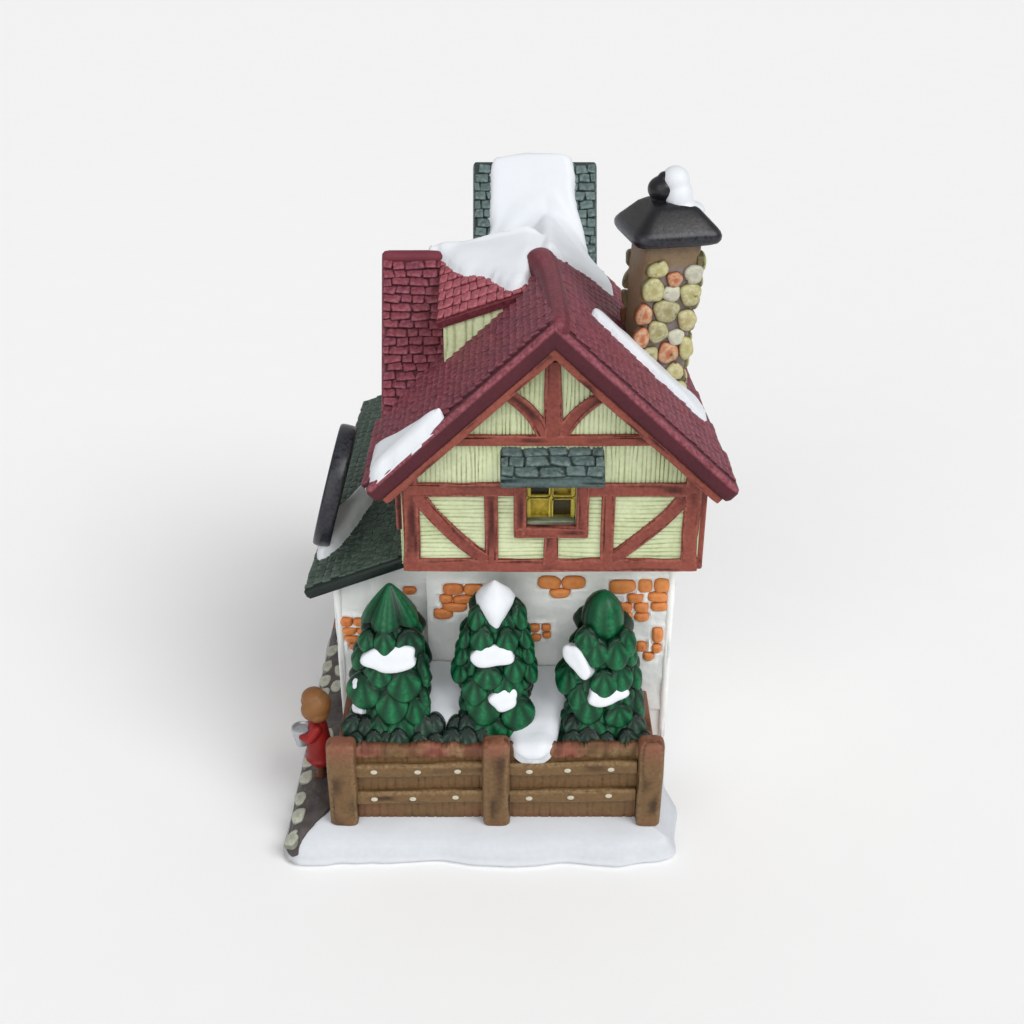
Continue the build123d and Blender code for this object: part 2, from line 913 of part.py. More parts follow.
awning_front_y = upper_near_y - awning_depth
awning_line = [(upper_near_y, awning_top_z - awning_thickness), (upper_near_y, awning_top_z)]
for course in range(awning_courses):
    near_share = course / awning_courses
    far_share = (course + 1) / awning_courses
    drop_near = awning_top_z - awning_drop * near_share - course_step * (course > 0)
    awning_line.append((upper_near_y - awning_depth * near_share, drop_near))
    awning_line.append((upper_near_y - awning_depth * far_share, awning_top_z - awning_drop * far_share))
awning_line.append((awning_front_y, awning_top_z - awning_drop - awning_thickness))
awning_line.pop(2)
with BuildPart() as window_awning:
    with BuildSketch(back_plane(house_center_x - awning_width / 2)):
        with BuildLine():
            Polyline(*awning_line, close=True)
        make_face()
    extrude(amount=awning_width)

# Bricks that show through the stucco: places are shares of a wall's width and height
near_brick_shares = [
    (0.16, 0.94, 2), (0.13, 0.89, 2), (0.16, 0.84, 2), (0.11, 0.79, 1),
    (0.44, 0.95, 2), (0.46, 0.90, 1),
    (0.75, 0.95, 3), (0.78, 0.90, 3), (0.76, 0.85, 3), (0.76, 0.80, 2),
    (0.41, 0.72, 2), (0.43, 0.67, 1), (0.86, 0.69, 2), (0.83, 0.64, 2), (0.86, 0.59, 1),
]
wing_brick_shares = [(0.06, 0.60, 3), (0.10, 0.54, 2), (0.06, 0.48, 2), (0.70, 0.80, 1)]
front_brick_shares = [(0.06, 0.66, 3), (0.09, 0.60, 2), (0.50, 0.82, 2), (0.52, 0.76, 3), (0.55, 0.26, 2)]
back_brick_shares = [(0.08, 0.88, 3), (0.11, 0.82, 2), (0.70, 0.30, 2), (0.72, 0.24, 3), (0.80, 0.84, 2)]
brick_outline = [(u * brick_length, v * brick_height) for u, v in corner_shares]
brick_bevel_shares = [(0, 1), (1, 0.72)]


def bricks(plane, start, length, low, height, shares):
    """Courses of raised bricks on a wall: shares are (along, up, count)."""
    made = []
    for along, up, count in shares:
        for index in range(count):
            place = (start + along * length + (index + 0.5) * brick_pitch, low + up * height)
            made.append(raised(plane, place, brick_outline, brick_depth, brick_bevel_shares))
    return made


lower_height = jetty_z - base_height
near_bricks = bricks(
    near_plane(lower_near_y), lower_left_x, lower_width, base_height, lower_height, near_brick_shares
)
wing_side_length = lower_left_x - wing_front_x
wing_bricks = bricks(
    near_plane(wing_near_y), wing_front_x, wing_side_length, base_height, lower_height, wing_brick_shares
)
wing_length = wing_far_y - wing_near_y
front_bricks = bricks(
    front_plane(wing_front_x), -wing_far_y, wing_length, base_height, lower_height, front_brick_shares
)
back_bricks = bricks(
    back_plane(lower_right_x), lower_near_y, main_far_y - lower_near_y, base_height, lower_height,
    back_brick_shares
)
with BuildPart() as wall_bricks:
    add(near_bricks)
    add(wing_bricks)
    add(front_bricks)
    add(back_bricks)

# Chimney: a leaning, turned stack with stones on each face
turn = math.radians(chimney_turn)


def chimney_plane(level):
    share = (level - chimney_foot_z) / (chimney_head_z - chimney_foot_z)
    return Plane(
        origin=(chimney_x + share * chimney_lean, chimney_y, level),
        x_dir=(math.cos(turn), math.sin(turn), 0),
        z_dir=(0, 0, 1),
    )


def square_rings(levels):
    """A square tapered body: levels are (plane, width) pairs."""
    points = [
        plane.from_local_coords((u * width, v * width, 0))
        for plane, width in levels
        for u, v in corner_shares
    ]
    return ConvexPolyhedron(points)


stack_levels = [
    (chimney_plane(chimney_foot_z), chimney_foot_width),
    (chimney_plane(chimney_head_z), chimney_head_width),
]
stack_body = square_rings(stack_levels)
with BuildPart() as chimney_stack:
    add(stack_body)
    add(main_outer, mode=Mode.SUBTRACT)
    stack_sides = chimney_stack.faces().filter_by(
        lambda face: abs(face.normal_at().Z) < math.sin(math.radians(stone_taper))
    )

stone_pitch = chimney_foot_width / stone_columns
stone_rise = stone_pitch
stone_bevel_shares = [(0, 1), (1, 0.62)]
stone_bodies = []
# The side that faces the front is bare mortar
stony_sides = stack_sides.sort_by(Axis.X)[1:]
for side in stony_sides:
    outward = side.normal_at()
    level = Vector(-outward.Y, outward.X, 0)
    middle = chimney_plane(chimney_head_z).origin + outward * (chimney_head_width / 2)
    side_plane = Plane(origin=middle, x_dir=level, z_dir=outward)
    for row in range(stone_rows):
        shift = stone_pitch / 4 * (-1) ** row
        for column in range(stone_columns):
            along = (column - (stone_columns - 1) / 2) * stone_pitch + shift
            place = (along, -stone_rise * (row + 0.6))
            outline = polygon(stone_radius - fit_gap, 5, 30 + 17 * (row + column))
            stone_bodies.append(raised(side_plane, place, outline, stone_depth, stone_bevel_shares))
with BuildPart() as chimney_stones:
    add(stone_bodies)
    add(chimney_stack.part, mode=Mode.SUBTRACT)
    add(main_outer, mode=Mode.SUBTRACT)

cap_top_z = chimney_head_z + cap_height
cap_plane = chimney_plane(chimney_head_z)
cap_levels = [
    (cap_plane, chimney_head_width),
    (cap_plane.offset(0.18 * cap_height), cap_width),
    (cap_plane.offset(0.42 * cap_height), cap_width - 2 * stone_depth),
    (cap_plane.offset(cap_height), 2 * knob_radius),
]
cap_body = square_rings(cap_levels)
with BuildPart() as chimney_cap:
    add(cap_body)

knob_center = (chimney_x + chimney_lean - knob_radius / 2, chimney_y)
knob_levels = [
    (cap_top_z, 0.7 * knob_radius),
    (cap_top_z + 0.3 * knob_height, knob_radius),
    (cap_top_z + 0.7 * knob_height, 0.92 * knob_radius),
    (cap_top_z + knob_height, 0.45 * knob_radius),
]
knob_body = rings(standing(*knob_center), knob_levels, 10)
with BuildPart() as chimney_knob:
    add(knob_body)

snow_center = (knob_center[0] + 1.5 * knob_radius, chimney_y)
cap_snow_levels = [
    (chimney_head_z + 0.45 * cap_height, 1.1 * knob_radius),
    (cap_top_z, 1.25 * knob_radius),
    (cap_top_z + 0.7 * knob_height, knob_radius),
    (cap_top_z + knob_height + roof_snow / 2, 0.4 * knob_radius),
]
cap_snow_body = rings(standing(*snow_center), cap_snow_levels, 9)
with BuildPart() as chimney_snow:
    add(cap_snow_body)
    add(knob_body, mode=Mode.SUBTRACT)
    add(chimney_cap.part, mode=Mode.SUBTRACT)


# Snow on the roofs: a layer over the slopes inside an outline seen from above
def snow_field(shares, origin, extent):
    """A tall prism over an outline given as shares of an extent from an origin."""
    points = [(origin[0] + u * extent[0], origin[1] + v * extent[1]) for u, v in shares]
    return prism(Plane.XY.offset(jetty_z - 3 * overrun), points, top_limit_z + 3 * overrun - jetty_z)


saddle_origin = (dormer_left_x, saddle_near_y)
saddle_extent = (main_half_span, tower_ridge_y - saddle_near_y)
saddle_shares = [
    (-0.08, 0.36), (0.0, 0.32), (0.15, 0.20), (0.27, 0.13), (0.38, 0.04), (0.46, -0.01), (0.53, 0.07),
    (0.60, 0.20), (0.68, 0.22), (0.83, 0.36), (1.0, 0.54), (0.93, 0.64), (0.82, 0.76), (0.77, 0.9),
    (0.77, 1.05), (0.26, 1.05), (0.26, 0.78), (0.17, 0.67), (0.08, 0.52), (-0.06, 0.47),
]
saddle_area = snow_field(saddle_shares, saddle_origin, saddle_extent)
grown_main = main_cover(-roof_snow)
grown_front = front_cover(-roof_snow)
grown_tower = tower_cover(-roof_snow)
tower_outer = tower_cover(0)
grown_dormer = dormer_slab(0, dormer_thickness + roof_snow)
with BuildPart() as ridge_snow:
    add(grown_main)
    add(grown_front)
    add(grown_tower)
    add(grown_dormer)
    add(saddle_area, mode=Mode.INTERSECT)
    add(main_outer, mode=Mode.SUBTRACT)
    add(front_outer, mode=Mode.SUBTRACT)
    add(tower_outer, mode=Mode.SUBTRACT)
    add(main_roof.part, mode=Mode.SUBTRACT)
    add(dormer_solid, mode=Mode.SUBTRACT)
    add(dormer_walls.part, mode=Mode.SUBTRACT)

eave_origin = (house_center_x - main_half_span + fit_gap, main_verge_y + fit_gap)
eave_extent = (main_half_span / 2, main_verge * 2.6)
eave_shares = [(0, 0), (0.98, 0), (0.92, 0.2), (0.6, 0.4), (0.38, 0.66), (0.2, 0.86), (0, 1)]
eave_area = snow_field(eave_shares, eave_origin, eave_extent)
grown_eave = main_cover(-eave_snow)
with BuildPart() as eave_snow_bank:
    add(grown_eave)
    add(eave_area, mode=Mode.INTERSECT)
    add(main_outer, mode=Mode.SUBTRACT)
    add(main_roof.part, mode=Mode.SUBTRACT)

slope_origin = (house_center_x, chimney_y - chimney_foot_width)
slope_extent = (main_half_span, chimney_foot_width)
slope_shares = [
    (0.2, 0.1), (0.33, 0.0), (0.5, -0.06), (0.72, -0.16), (0.86, -0.2), (0.9, 0.2), (0.87, 0.6),
    (0.72, 0.6), (0.4, 0.42), (0.27, 0.4),
]
slope_area = snow_field(slope_shares, slope_origin, slope_extent)
with BuildPart() as slope_snow:
    add(grown_main)
    add(slope_area, mode=Mode.INTERSECT)
    add(main_outer, mode=Mode.SUBTRACT)
    add(chimney_stack.part, mode=Mode.SUBTRACT)
    add(chimney_stones.part, mode=Mode.SUBTRACT)

# Clock that leans back on the wing roof
clock_tilt = math.radians(clock_lean)
clock_face = Plane(
    origin=(clock_x, clock_y, clock_z),
    x_dir=(0, -1, 0),
    z_dir=(-math.cos(clock_tilt), 0, math.sin(clock_tilt)),
)
dial_radius = clock_radius - clock_rim
with BuildPart() as clock_rim_ring:
    with BuildSketch(clock_face.offset(-clock_depth / 2)):
        RegularPolygon(clock_radius, clock_sides)
        RegularPolygon(dial_radius, clock_sides, mode=Mode.SUBTRACT)
    extrude(amount=clock_depth)
    add(wing_outer, mode=Mode.SUBTRACT)
with BuildPart() as clock_dial_plate:
    with BuildSketch(clock_face.offset(-clock_dial / 2)):
        RegularPolygon(dial_radius, clock_sides)
    extrude(amount=clock_dial)
mark_radius = 0.8 * dial_radius
with BuildPart() as clock_marks:
    with BuildSketch(clock_face.offset(clock_dial / 2)):
        with PolarLocations(mark_radius, 12):
            Rectangle(0.18 * dial_radius, 0.07 * dial_radius)
    extrude(amount=hand_depth)
hour_angle = 150.0
minute_angle = 60.0
with BuildPart() as clock_hands:
    with BuildSketch(clock_face.offset(clock_dial / 2)):
        RegularPolygon(0.09 * dial_radius, 8)
        with PolarLocations(0.22 * dial_radius, 1, start_angle=hour_angle):
            Rectangle(0.5 * dial_radius, 0.09 * dial_radius)
        with PolarLocations(0.3 * dial_radius, 1, start_angle=minute_angle):
            Rectangle(0.68 * dial_radius, 0.07 * dial_radius)
    extrude(amount=hand_depth)

drift_origin = (wing_eave_x, clock_y - clock_radius)
drift_extent = (clock_radius, 2 * clock_radius)
drift_shares = [
    (0.1, 0.25), (0.3, 0.14), (0.55, 0.3), (0.75, 0.6), (0.92, 0.85), (0.9, 1.0), (0.72, 1.02), (0.5, 0.85),
    (0.14, 0.62),
]
drift_area = snow_field(drift_shares, drift_origin, drift_extent)
drift_slab = prism(wing_near, wing_flat(drift_depth, 0), wing_travel, wing_direction)
with BuildPart() as clock_snow:
    add(drift_slab)
    add(drift_area, mode=Mode.INTERSECT)
    add(clock_rim_ring.part, mode=Mode.SUBTRACT)
    with BuildSketch(clock_face.offset(-clock_depth / 2)):
        RegularPolygon(dial_radius, clock_sides)
    extrude(amount=clock_depth, mode=Mode.SUBTRACT)

# Fence and planter
bay_centers = [fence_left_x, (fence_left_x + fence_right_x) / 2, fence_right_x]
fence_back_y = fence_y + post_depth / 2
with BuildPart() as fence_posts:
    for center in bay_centers:
        with Locations((center, fence_y, base_height)):
            Box(
                fence_post_width,
                post_depth,
                fence_post_height,
                align=(Align.CENTER, Align.CENTER, Align.MIN),
            )
    chamfer(fence_posts.faces().filter_by(Axis.Z).sort_by(Axis.Z)[-3:].edges(), 3 * board_gap)

bay_width = bay_centers[1] - bay_centers[0] - fence_post_width
board_pitch = bay_width / boards_per_bay
board_y = fence_back_y - board_depth
with BuildPart() as fence_boards:
    for left in bay_centers[:2]:
        for index in range(boards_per_bay):
            start = left + fence_post_width / 2 + index * board_pitch
            lift = board_gap * math.sin(index * board_pitch)
            with Locations((start + board_gap / 2, board_y, base_height)):
                Box(
                    board_pitch - board_gap,
                    board_depth,
                    board_height + lift,
                    align=(Align.MIN, Align.MIN, Align.MIN),
                )
    for center, wall_y in ((fence_left_x, wing_near_y), (fence_right_x, lower_near_y)):
        with Locations((center, fence_back_y, base_height)):
            Box(
                planter_side,
                wall_y - fence_back_y,
                board_height,
                align=(Align.CENTER, Align.MIN, Align.MIN),
            )
with BuildPart() as fence_rails:
    for left in bay_centers[:2]:
        for height in (rail_low_z, rail_high_z):
            with Locations((left + fence_post_width / 2, board_y - rail_depth, height - rail_height / 2)):
                Box(bay_width, rail_depth, rail_height, align=(Align.MIN, Align.MIN, Align.MIN))

bed_left = fence_left_x + planter_side / 2
bed_right = fence_right_x - planter_side / 2
bed_outline = [
    (bed_left, fence_back_y),
    (bed_right, fence_back_y),
    (bed_right, lower_near_y - brick_depth),
    (lower_left_x - brick_depth, lower_near_y - brick_depth),
    (lower_left_x - brick_depth, wing_near_y - brick_depth),
    (bed_left, wing_near_y - brick_depth),
]
bed_block = prism(Plane.XY.offset(base_height), bed_outline, bed_z - base_height)
with BuildPart() as planter_bed:
    add(bed_block)


# Fir trees: a faceted core with tiers of leaf scales
core_shares = [(0, 0.55), (0.2, 0.68), (0.7, 0.56), (0.82, 0.48), (1, 0.06)]
leaf_shares = [(-0.4, 0.2), (-0.46, -0.3), (0, -0.66), (0.46, -0.3), (0.4, 0.2)]
leaf_bevel_shares = [(0, 1), (1, 0.84)]
leaf_flare = 0.62


def fir_tree(center_x, height):
    core_levels = [(bed_z + up * height, wide * tree_radius_y) for up, wide in core_shares]
    core = rings(standing(center_x, tree_y), core_levels, tree_leaves)
    leaves = []
    for tier in range(tree_tiers):
        share = tier / tree_tiers
        scale_x = tree_radius_x * (0.66 - 0.24 * share)
        scale_y = tree_radius_y * (0.66 - 0.22 * share)
        leaf = tree_radius_x * (0.94 - 0.34 * share)
        outline = [(u * leaf, v * leaf) for u, v in leaf_shares]
        level = bed_z + height * (0.24 + 0.56 * share)
        for index in range(tree_leaves):
            angle = 2 * math.pi * (index + 0.5 * (tier % 2)) / tree_leaves
            out = Vector(math.cos(angle), math.sin(angle), leaf_flare)
            foot = Vector(center_x + scale_x * out.X, tree_y + scale_y * out.Y, level)
            face = Plane(origin=foot, x_dir=(-out.Y, out.X, 0), z_dir=out)
            back = face.offset(-leaf_thickness)
            leaves.append(raised(back, (0, 0), outline, leaf_thickness, leaf_bevel_shares))
    with BuildPart() as made:
        add(core)
        add(leaves)
        add(tree_floor, mode=Mode.SUBTRACT)
    return made.part


tree_floor = block(
    (base_center_x - base_width, -base_length, 0),
    (base_center_x + base_width, base_length, bed_z),
)
tree_shares = [0.165, 0.497, 0.842]
fence_width = fence_right_x - fence_left_x
tree_centers = [fence_left_x + share * fence_width for share in tree_shares]
tree_parts = [fir_tree(x, height) for x, height in zip(tree_centers, tree_heights)]
with BuildPart() as fir_tree_left:
    add(tree_parts[0])
with BuildPart() as fir_tree_middle:
    add(tree_parts[1])
with BuildPart() as fir_tree_right:
    add(tree_parts[2])

# Snow on the trees and in the planter
tree_cap_levels = [
    (bed_z + 0.72 * tree_heights[1], 0.4 * tree_radius_y),
    (bed_z + 0.82 * tree_heights[1], 0.62 * tree_radius_y),
    (bed_z + 0.94 * tree_heights[1], 0.4 * tree_radius_y),
    (bed_z + 1.02 * tree_heights[1], 0.08 * tree_radius_y),
]
tree_cap = rings(standing(tree_centers[1], tree_y - 0.06 * tree_radius_y), tree_cap_levels, 9)
# Lumps on the scales: tree, offset along X and toward the front in radii, height share, size share
lump_shares = [
    (0, 0.1, 0.78, 0.56, 0.42),
    (1, 0.0, 0.72, 0.6, 0.4),
    (1, 0.34, 0.84, 0.34, 0.26),
    (2, -0.42, 0.66, 0.58, 0.36),
    (2, 0.26, 0.82, 0.38, 0.36),
    (0, -0.6, 0.6, 0.3, 0.24),
]
lumps = []
for tree, along, ahead, up, size in lump_shares:
    center = (tree_centers[tree] + along * tree_radius_x, tree_y - ahead * tree_radius_y)
    level = bed_z + up * tree_heights[tree]
    radius = size * tree_radius_x
    lump_levels = [
        (level - 0.5 * radius, 0.5 * radius),
        (level, radius),
        (level + 0.5 * radius, 0.5 * radius),
    ]
    lumps.append(rings(standing(*center), lump_levels, 6))
with BuildPart() as tree_snow:
    add(tree_cap)
    add(lumps)
    add(tree_parts, mode=Mode.SUBTRACT)

mound_back_y = lower_near_y - brick_depth - fit_gap
mound_line = [
    (fence_back_y + fit_gap, bed_z),
    (mound_back_y, bed_z),
    (mound_back_y, bed_z + 0.22 * tree_heights[1]),
    (fence_back_y + fit_gap, bed_z + roof_snow),
]
mound_spots = [
    ((tree_centers[0] + tree_centers[1]) / 2, 0.6 * tree_radius_x),
    ((tree_centers[1] + tree_centers[2]) / 2, tree_radius_x),
]
with BuildPart() as planter_snow:
    for center, width in mound_spots:
        with BuildSketch(back_plane(center - width / 2)):
            with BuildLine():
                Polyline(*mound_line, close=True)
            make_face()
        extrude(amount=width)
    add(tree_parts, mode=Mode.SUBTRACT)
    add(tree_snow.part, mode=Mode.SUBTRACT)

# Entrance: a surround that stands out from the wing, its door and step
portal_plane = front_plane(wing_front_x)
with BuildPart() as door_surround:
    with BuildSketch(portal_plane):
        with Locations((-door_y, base_height)):
            Rectangle(
                2 * portal_half,
                door_height + door_frame,
                align=(Align.CENTER, Align.MIN),
            )
            Rectangle(door_width, door_height, align=(Align.CENTER, Align.MIN), mode=Mode.SUBTRACT)
    extrude(amount=door_reveal)
with BuildPart() as front_door:
    with BuildSketch(portal_plane.offset(-wall)):
        with Locations((-door_y, base_height + fit_gap)):
            Rectangle(
                door_width - 2 * fit_gap,
                door_height - 2 * fit_gap,
                align=(Align.CENTER, Align.MIN),
            )
    extrude(amount=door_depth)
    with BuildSketch(portal_plane.offset(door_depth - wall)):
        with Locations((-door_y, base_height + door_height / 2)):
            with GridLocations(door_width / 4, door_height, 4, 1):
                Rectangle(door_width / 4 - 2 * board_gap, door_height - 4 * board_gap)
    extrude(amount=board_gap)
with BuildPart() as door_step:
    with Locations((wing_front_x - door_reveal, door_y, base_height)):
        Box(
            door_step_depth,
            2 * portal_half,
            door_step_height,
            align=(Align.MAX, Align.CENTER, Align.MIN),
        )
    with Locations((wing_front_x - door_reveal, door_y, base_height)):
        Box(
            door_reveal - fit_gap,
            door_width - 2 * fit_gap,
            door_step_height,
            align=(Align.MIN, Align.CENTER, Align.MIN),
        )

# Figure on the walk: each table gives heights and radii as shares of the figure's height
figure_foot_z = base_height + walk_thickness
boot_shares = [(0, 0.083), (0.056, 0.089), (0.222, 0.061)]
coat_shares = [(0.222, 0.139), (0.306, 0.144), (0.556, 0.108), (0.639, 0.094), (0.667, 0.056)]
head_shares = [(0.667, 0.05), (0.708, 0.094), (0.792, 0.111), (0.861, 0.094), (0.889, 0.056)]
hair_shares = [(0.7, 0.089), (0.75, 0.122), (0.847, 0.136), (0.944, 0.111), (1, 0.05)]
pail_shares = [(0.375, 0.044), (0.417, 0.072), (0.5, 0.083), (0.569, 0.067), (0.597, 0.033)]
head_shift_share = -0.008
hair_shift_share = 0.019
pail_shift_share = -0.156
sleeve_height_share = 0.556
sleeve_offset_share = 0.083
sleeve_radius_share = 0.047
sleeve_length_share = 0.15
face_reach_share = 0.128
face_depth_share = 0.033
face_half_share = 0.089


def figure_part(shares, shift, sides):
    """One turned piece of the figure, shifted along X by a share of its height."""
    levels = [(figure_foot_z + up * figure_height, radius * figure_height) for up, radius in shares]
    return rings(standing(figure_x + shift * figure_height, figure_y), levels, sides)


boot_body = figure_part(boot_shares, 0, 8)
coat_body = figure_part(coat_shares, 0, 10)
head_body = figure_part(head_shares, head_shift_share, 10)
hair_body = figure_part(hair_shares, hair_shift_share, 10)
pail_body = figure_part(pail_shares, pail_shift_share, 10)
with BuildPart() as figure_boots:
    add(boot_body)
with BuildPart() as figure_coat:
    add(coat_body)
    for hand_side in (-1, 1):
        sleeve_plane = Plane(
            origin=(
                figure_x,
                figure_y + hand_side * sleeve_offset_share * figure_height,
                figure_foot_z + sleeve_height_share * figure_height,
            ),
            x_dir=(0, 1, 0),
            z_dir=(-1, -0.3 * hand_side, -0.35),
        )
        with BuildSketch(sleeve_plane):
            RegularPolygon(sleeve_radius_share * figure_height, 8)
        extrude(amount=sleeve_length_share * figure_height)
    add(boot_body, mode=Mode.SUBTRACT)
    add(pail_body, mode=Mode.SUBTRACT)
    add(head_body, mode=Mode.SUBTRACT)
with BuildPart() as figure_head:
    add(head_body)
head_x = figure_x + head_shift_share * figure_height
face_half = face_half_share * figure_height
chin_z = figure_foot_z + head_shares[0][0] * figure_height
brow_z = figure_foot_z + head_shares[3][0] * figure_height
face_guard = block(
    (head_x - face_reach_share * figure_height, figure_y - face_half, chin_z),
    (head_x - face_depth_share * figure_height, figure_y + face_half, brow_z),
)
with BuildPart() as figure_hair:
    add(hair_body)
    add(head_body, mode=Mode.SUBTRACT)
    add(face_guard, mode=Mode.SUBTRACT)
    add(figure_coat.part, mode=Mode.SUBTRACT)
with BuildPart() as figure_pail:
    add(pail_body)

# Lamp: a clip-in holder with a bulb, pulled out through the back wall
lamp_axis = Plane(origin=(lower_right_x, lamp_y, lamp_z), x_dir=(0, 1, 0), z_dir=(1, 0, 0))
with BuildPart() as lamp_holder:
    with BuildSketch(lamp_axis):
        Circle(lamp_flange_radius)
    extrude(amount=lamp_flange)
    with BuildSketch(lamp_axis):
        Circle(lamp_barrel_radius)
    extrude(amount=-lamp_barrel_length)
    with BuildSketch(lamp_axis.offset(-lamp_barrel_length)):
        Circle(lamp_socket_radius)
    extrude(amount=lamp_barrel_length, mode=Mode.SUBTRACT)
    with BuildSketch(lamp_axis):
        Circle(cord_hole_radius)
    extrude(amount=lamp_flange, mode=Mode.SUBTRACT)
clip_reach = math.sqrt((lamp_hole_radius - slide_gap) ** 2 - (clip_width / 2) ** 2)
with BuildPart() as lamp_clips:
    for clip_side_sign in (-1, 1):
        with BuildSketch(Plane(origin=(lower_right_x, lamp_y, lamp_z), x_dir=(1, 0, 0), z_dir=(0, 1, 0))):
            with BuildLine():
                Polyline(
                    (0, clip_side_sign * lamp_barrel_radius),
                    (-clip_length, clip_side_sign * lamp_barrel_radius),
                    (-clip_length, clip_side_sign * (lamp_barrel_radius + clip_thickness)),
                    (-wall - clip_thickness, clip_side_sign * clip_reach),
                    (-wall, clip_side_sign * clip_reach),
                    (-wall, clip_side_sign * (clip_reach - clip_thickness)),
                    (-clip_length / 2, clip_side_sign * (lamp_barrel_radius + clip_thickness)),
                    (0, clip_side_sign * (lamp_barrel_radius + clip_thickness)),
                    close=True,
                )
            make_face()
        extrude(amount=clip_width / 2, both=True)
with BuildPart() as bulb_cap:
    with BuildSketch(lamp_axis.offset(-lamp_barrel_length)):
        Circle(bulb_cap_radius)
    extrude(amount=bulb_cap_length)

# Bulb: radii and places along its axis as shares of its radius and length
bulb_shares = [(0.52, 0), (0.74, 0.15), (1, 0.38), (0.94, 0.55), (0.6, 0.82), (0.2, 1)]
bulb_foot = (lower_right_x - lamp_barrel_length, lamp_y, lamp_z)
bulb_plane = Plane(origin=bulb_foot, x_dir=(0, 1, 0), z_dir=(-1, 0, 0))
bulb_levels = [(along * bulb_length, radius * bulb_radius) for radius, along in bulb_shares]
bulb_body = rings(bulb_plane, bulb_levels, bulb_sides)
with BuildPart() as bulb_glass:
    add(bulb_body)

pieces = {
    "snow_base": snow_base,
    "garden_walk": garden_walk,
    "walk_stones": walk_stones,
    "lower_walls": lower_walls,
    "wing_walls": wing_walls,
    "upper_walls": upper_walls,
    "tower_walls": tower_walls,
    "main_roof": main_roof,
    "front_gable_roof": front_gable_roof,
    "tower_roof": tower_roof,
    "wing_roof": wing_roof,
    "dormer_roof": dormer_roof,
    "dormer_walls": dormer_walls,
    "barge_boards": barge_boards,
    "timber_frame": timber_frame,
    "timber_frame_front": timber_frame_front,
    "timber_frame_back": timber_frame_back,
    "side_window_surround": side_window_surround,
    "side_window_sash": side_window_sash,
    "front_window_surrounds": front_window_surrounds,
    "front_window_sashes": front_window_sashes,
    "back_window_surrounds": back_window_surrounds,
    "back_window_sashes": back_window_sashes,
    "window_panes": window_panes,
    "window_awning": window_awning,
    "wall_bricks": wall_bricks,
    "chimney_stack": chimney_stack,
    "chimney_stones": chimney_stones,
    "chimney_cap": chimney_cap,
    "chimney_knob": chimney_knob,
    "chimney_snow": chimney_snow,
    "ridge_snow": ridge_snow,
    "eave_snow": eave_snow_bank,
    "slope_snow": slope_snow,
    "clock_rim": clock_rim_ring,
    "clock_dial": clock_dial_plate,
    "clock_marks": clock_marks,
    "clock_hands": clock_hands,
    "clock_snow": clock_snow,
    "fence_posts": fence_posts,
    "fence_boards": fence_boards,
    "fence_rails": fence_rails,
    "planter_bed": planter_bed,
    "planter_snow": planter_snow,
    "fir_tree_left": fir_tree_left,
    "fir_tree_middle": fir_tree_middle,
    "fir_tree_right": fir_tree_right,
    "tree_snow": tree_snow,
    "door_surround": door_surround,
    "front_door": front_door,
    "door_step": door_step,
    "figure_boots": figure_boots,
    "figure_coat": figure_coat,
    "figure_head": figure_head,
    "figure_hair": figure_hair,
    "figure_pail": figure_pail,
    "lamp_holder": lamp_holder,
    "lamp_clips": lamp_clips,
    "bulb_cap": bulb_cap,
    "bulb_glass": bulb_glass,
}
for label, piece in pieces.items():
    piece.part.label = label
    export_step(piece.part, f"parts/{label}.step")
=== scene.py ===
import math
import random

import bmesh
import bpy
import numpy as np
from mathutils import Matrix, Vector


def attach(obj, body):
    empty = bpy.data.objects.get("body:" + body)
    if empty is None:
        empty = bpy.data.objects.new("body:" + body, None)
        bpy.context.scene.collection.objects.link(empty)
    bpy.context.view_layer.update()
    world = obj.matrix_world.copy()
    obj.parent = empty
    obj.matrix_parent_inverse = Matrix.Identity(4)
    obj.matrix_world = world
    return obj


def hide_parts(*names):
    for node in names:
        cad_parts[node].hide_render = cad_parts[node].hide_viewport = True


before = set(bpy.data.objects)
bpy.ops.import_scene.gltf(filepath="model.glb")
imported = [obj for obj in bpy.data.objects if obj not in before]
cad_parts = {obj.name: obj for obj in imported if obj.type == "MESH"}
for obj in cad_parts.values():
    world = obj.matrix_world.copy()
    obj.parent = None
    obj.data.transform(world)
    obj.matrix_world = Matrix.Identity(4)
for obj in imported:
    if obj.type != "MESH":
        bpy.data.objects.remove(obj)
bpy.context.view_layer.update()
draw = random.Random(11)
METRE = 0.001
BUMP_DEPTH = 0.0004
# deep carries a dark wash and painted shade, edge a dry brush and painted highlights, tone a second paint colour
PAINT_VALUES = ("deep", "edge", "tone")


# Small tools: vectors, noise and outlines, all in millimetres
def vec(*values):
    return np.array(values, float)


def unit(values):
    values = np.array(values, float)
    return values / np.linalg.norm(values)


def lattice(cells, seed):
    """A repeatable number from 0 to 1 for each whole-number cell."""
    mixed = cells[..., 0] * 374761393 + cells[..., 1] * 668265263 + cells[..., 2] * 1274126177
    mixed = (mixed + seed * 362437) & 0xFFFFFFFF
    mixed = ((mixed ^ (mixed >> 13)) * 1274126177) & 0xFFFFFFFF
    return ((mixed ^ (mixed >> 16)) & 0xFFFFFFFF) / 0xFFFFFFFF


def lumpy(points, size, seed=0):
    """Smooth noise from -1 to 1 with features of about the given size."""
    places = np.asarray(points, float) / np.asarray(size, float)
    cell = np.floor(places).astype(np.int64)
    part = places - cell
    part = part * part * (3 - 2 * part)
    total = np.zeros(places.shape[:-1])
    for corner in range(8):
        step = np.array([corner & 1, corner >> 1 & 1, corner >> 2 & 1])
        weight = np.prod(np.where(step, part, 1 - part), axis=-1)
        total += weight * lattice(cell + step, seed)
    return 2 * total - 1


def flat(us, vs):
    """Places on a sheet as points for the noise."""
    return np.stack([us, vs, np.zeros_like(us)], -1)


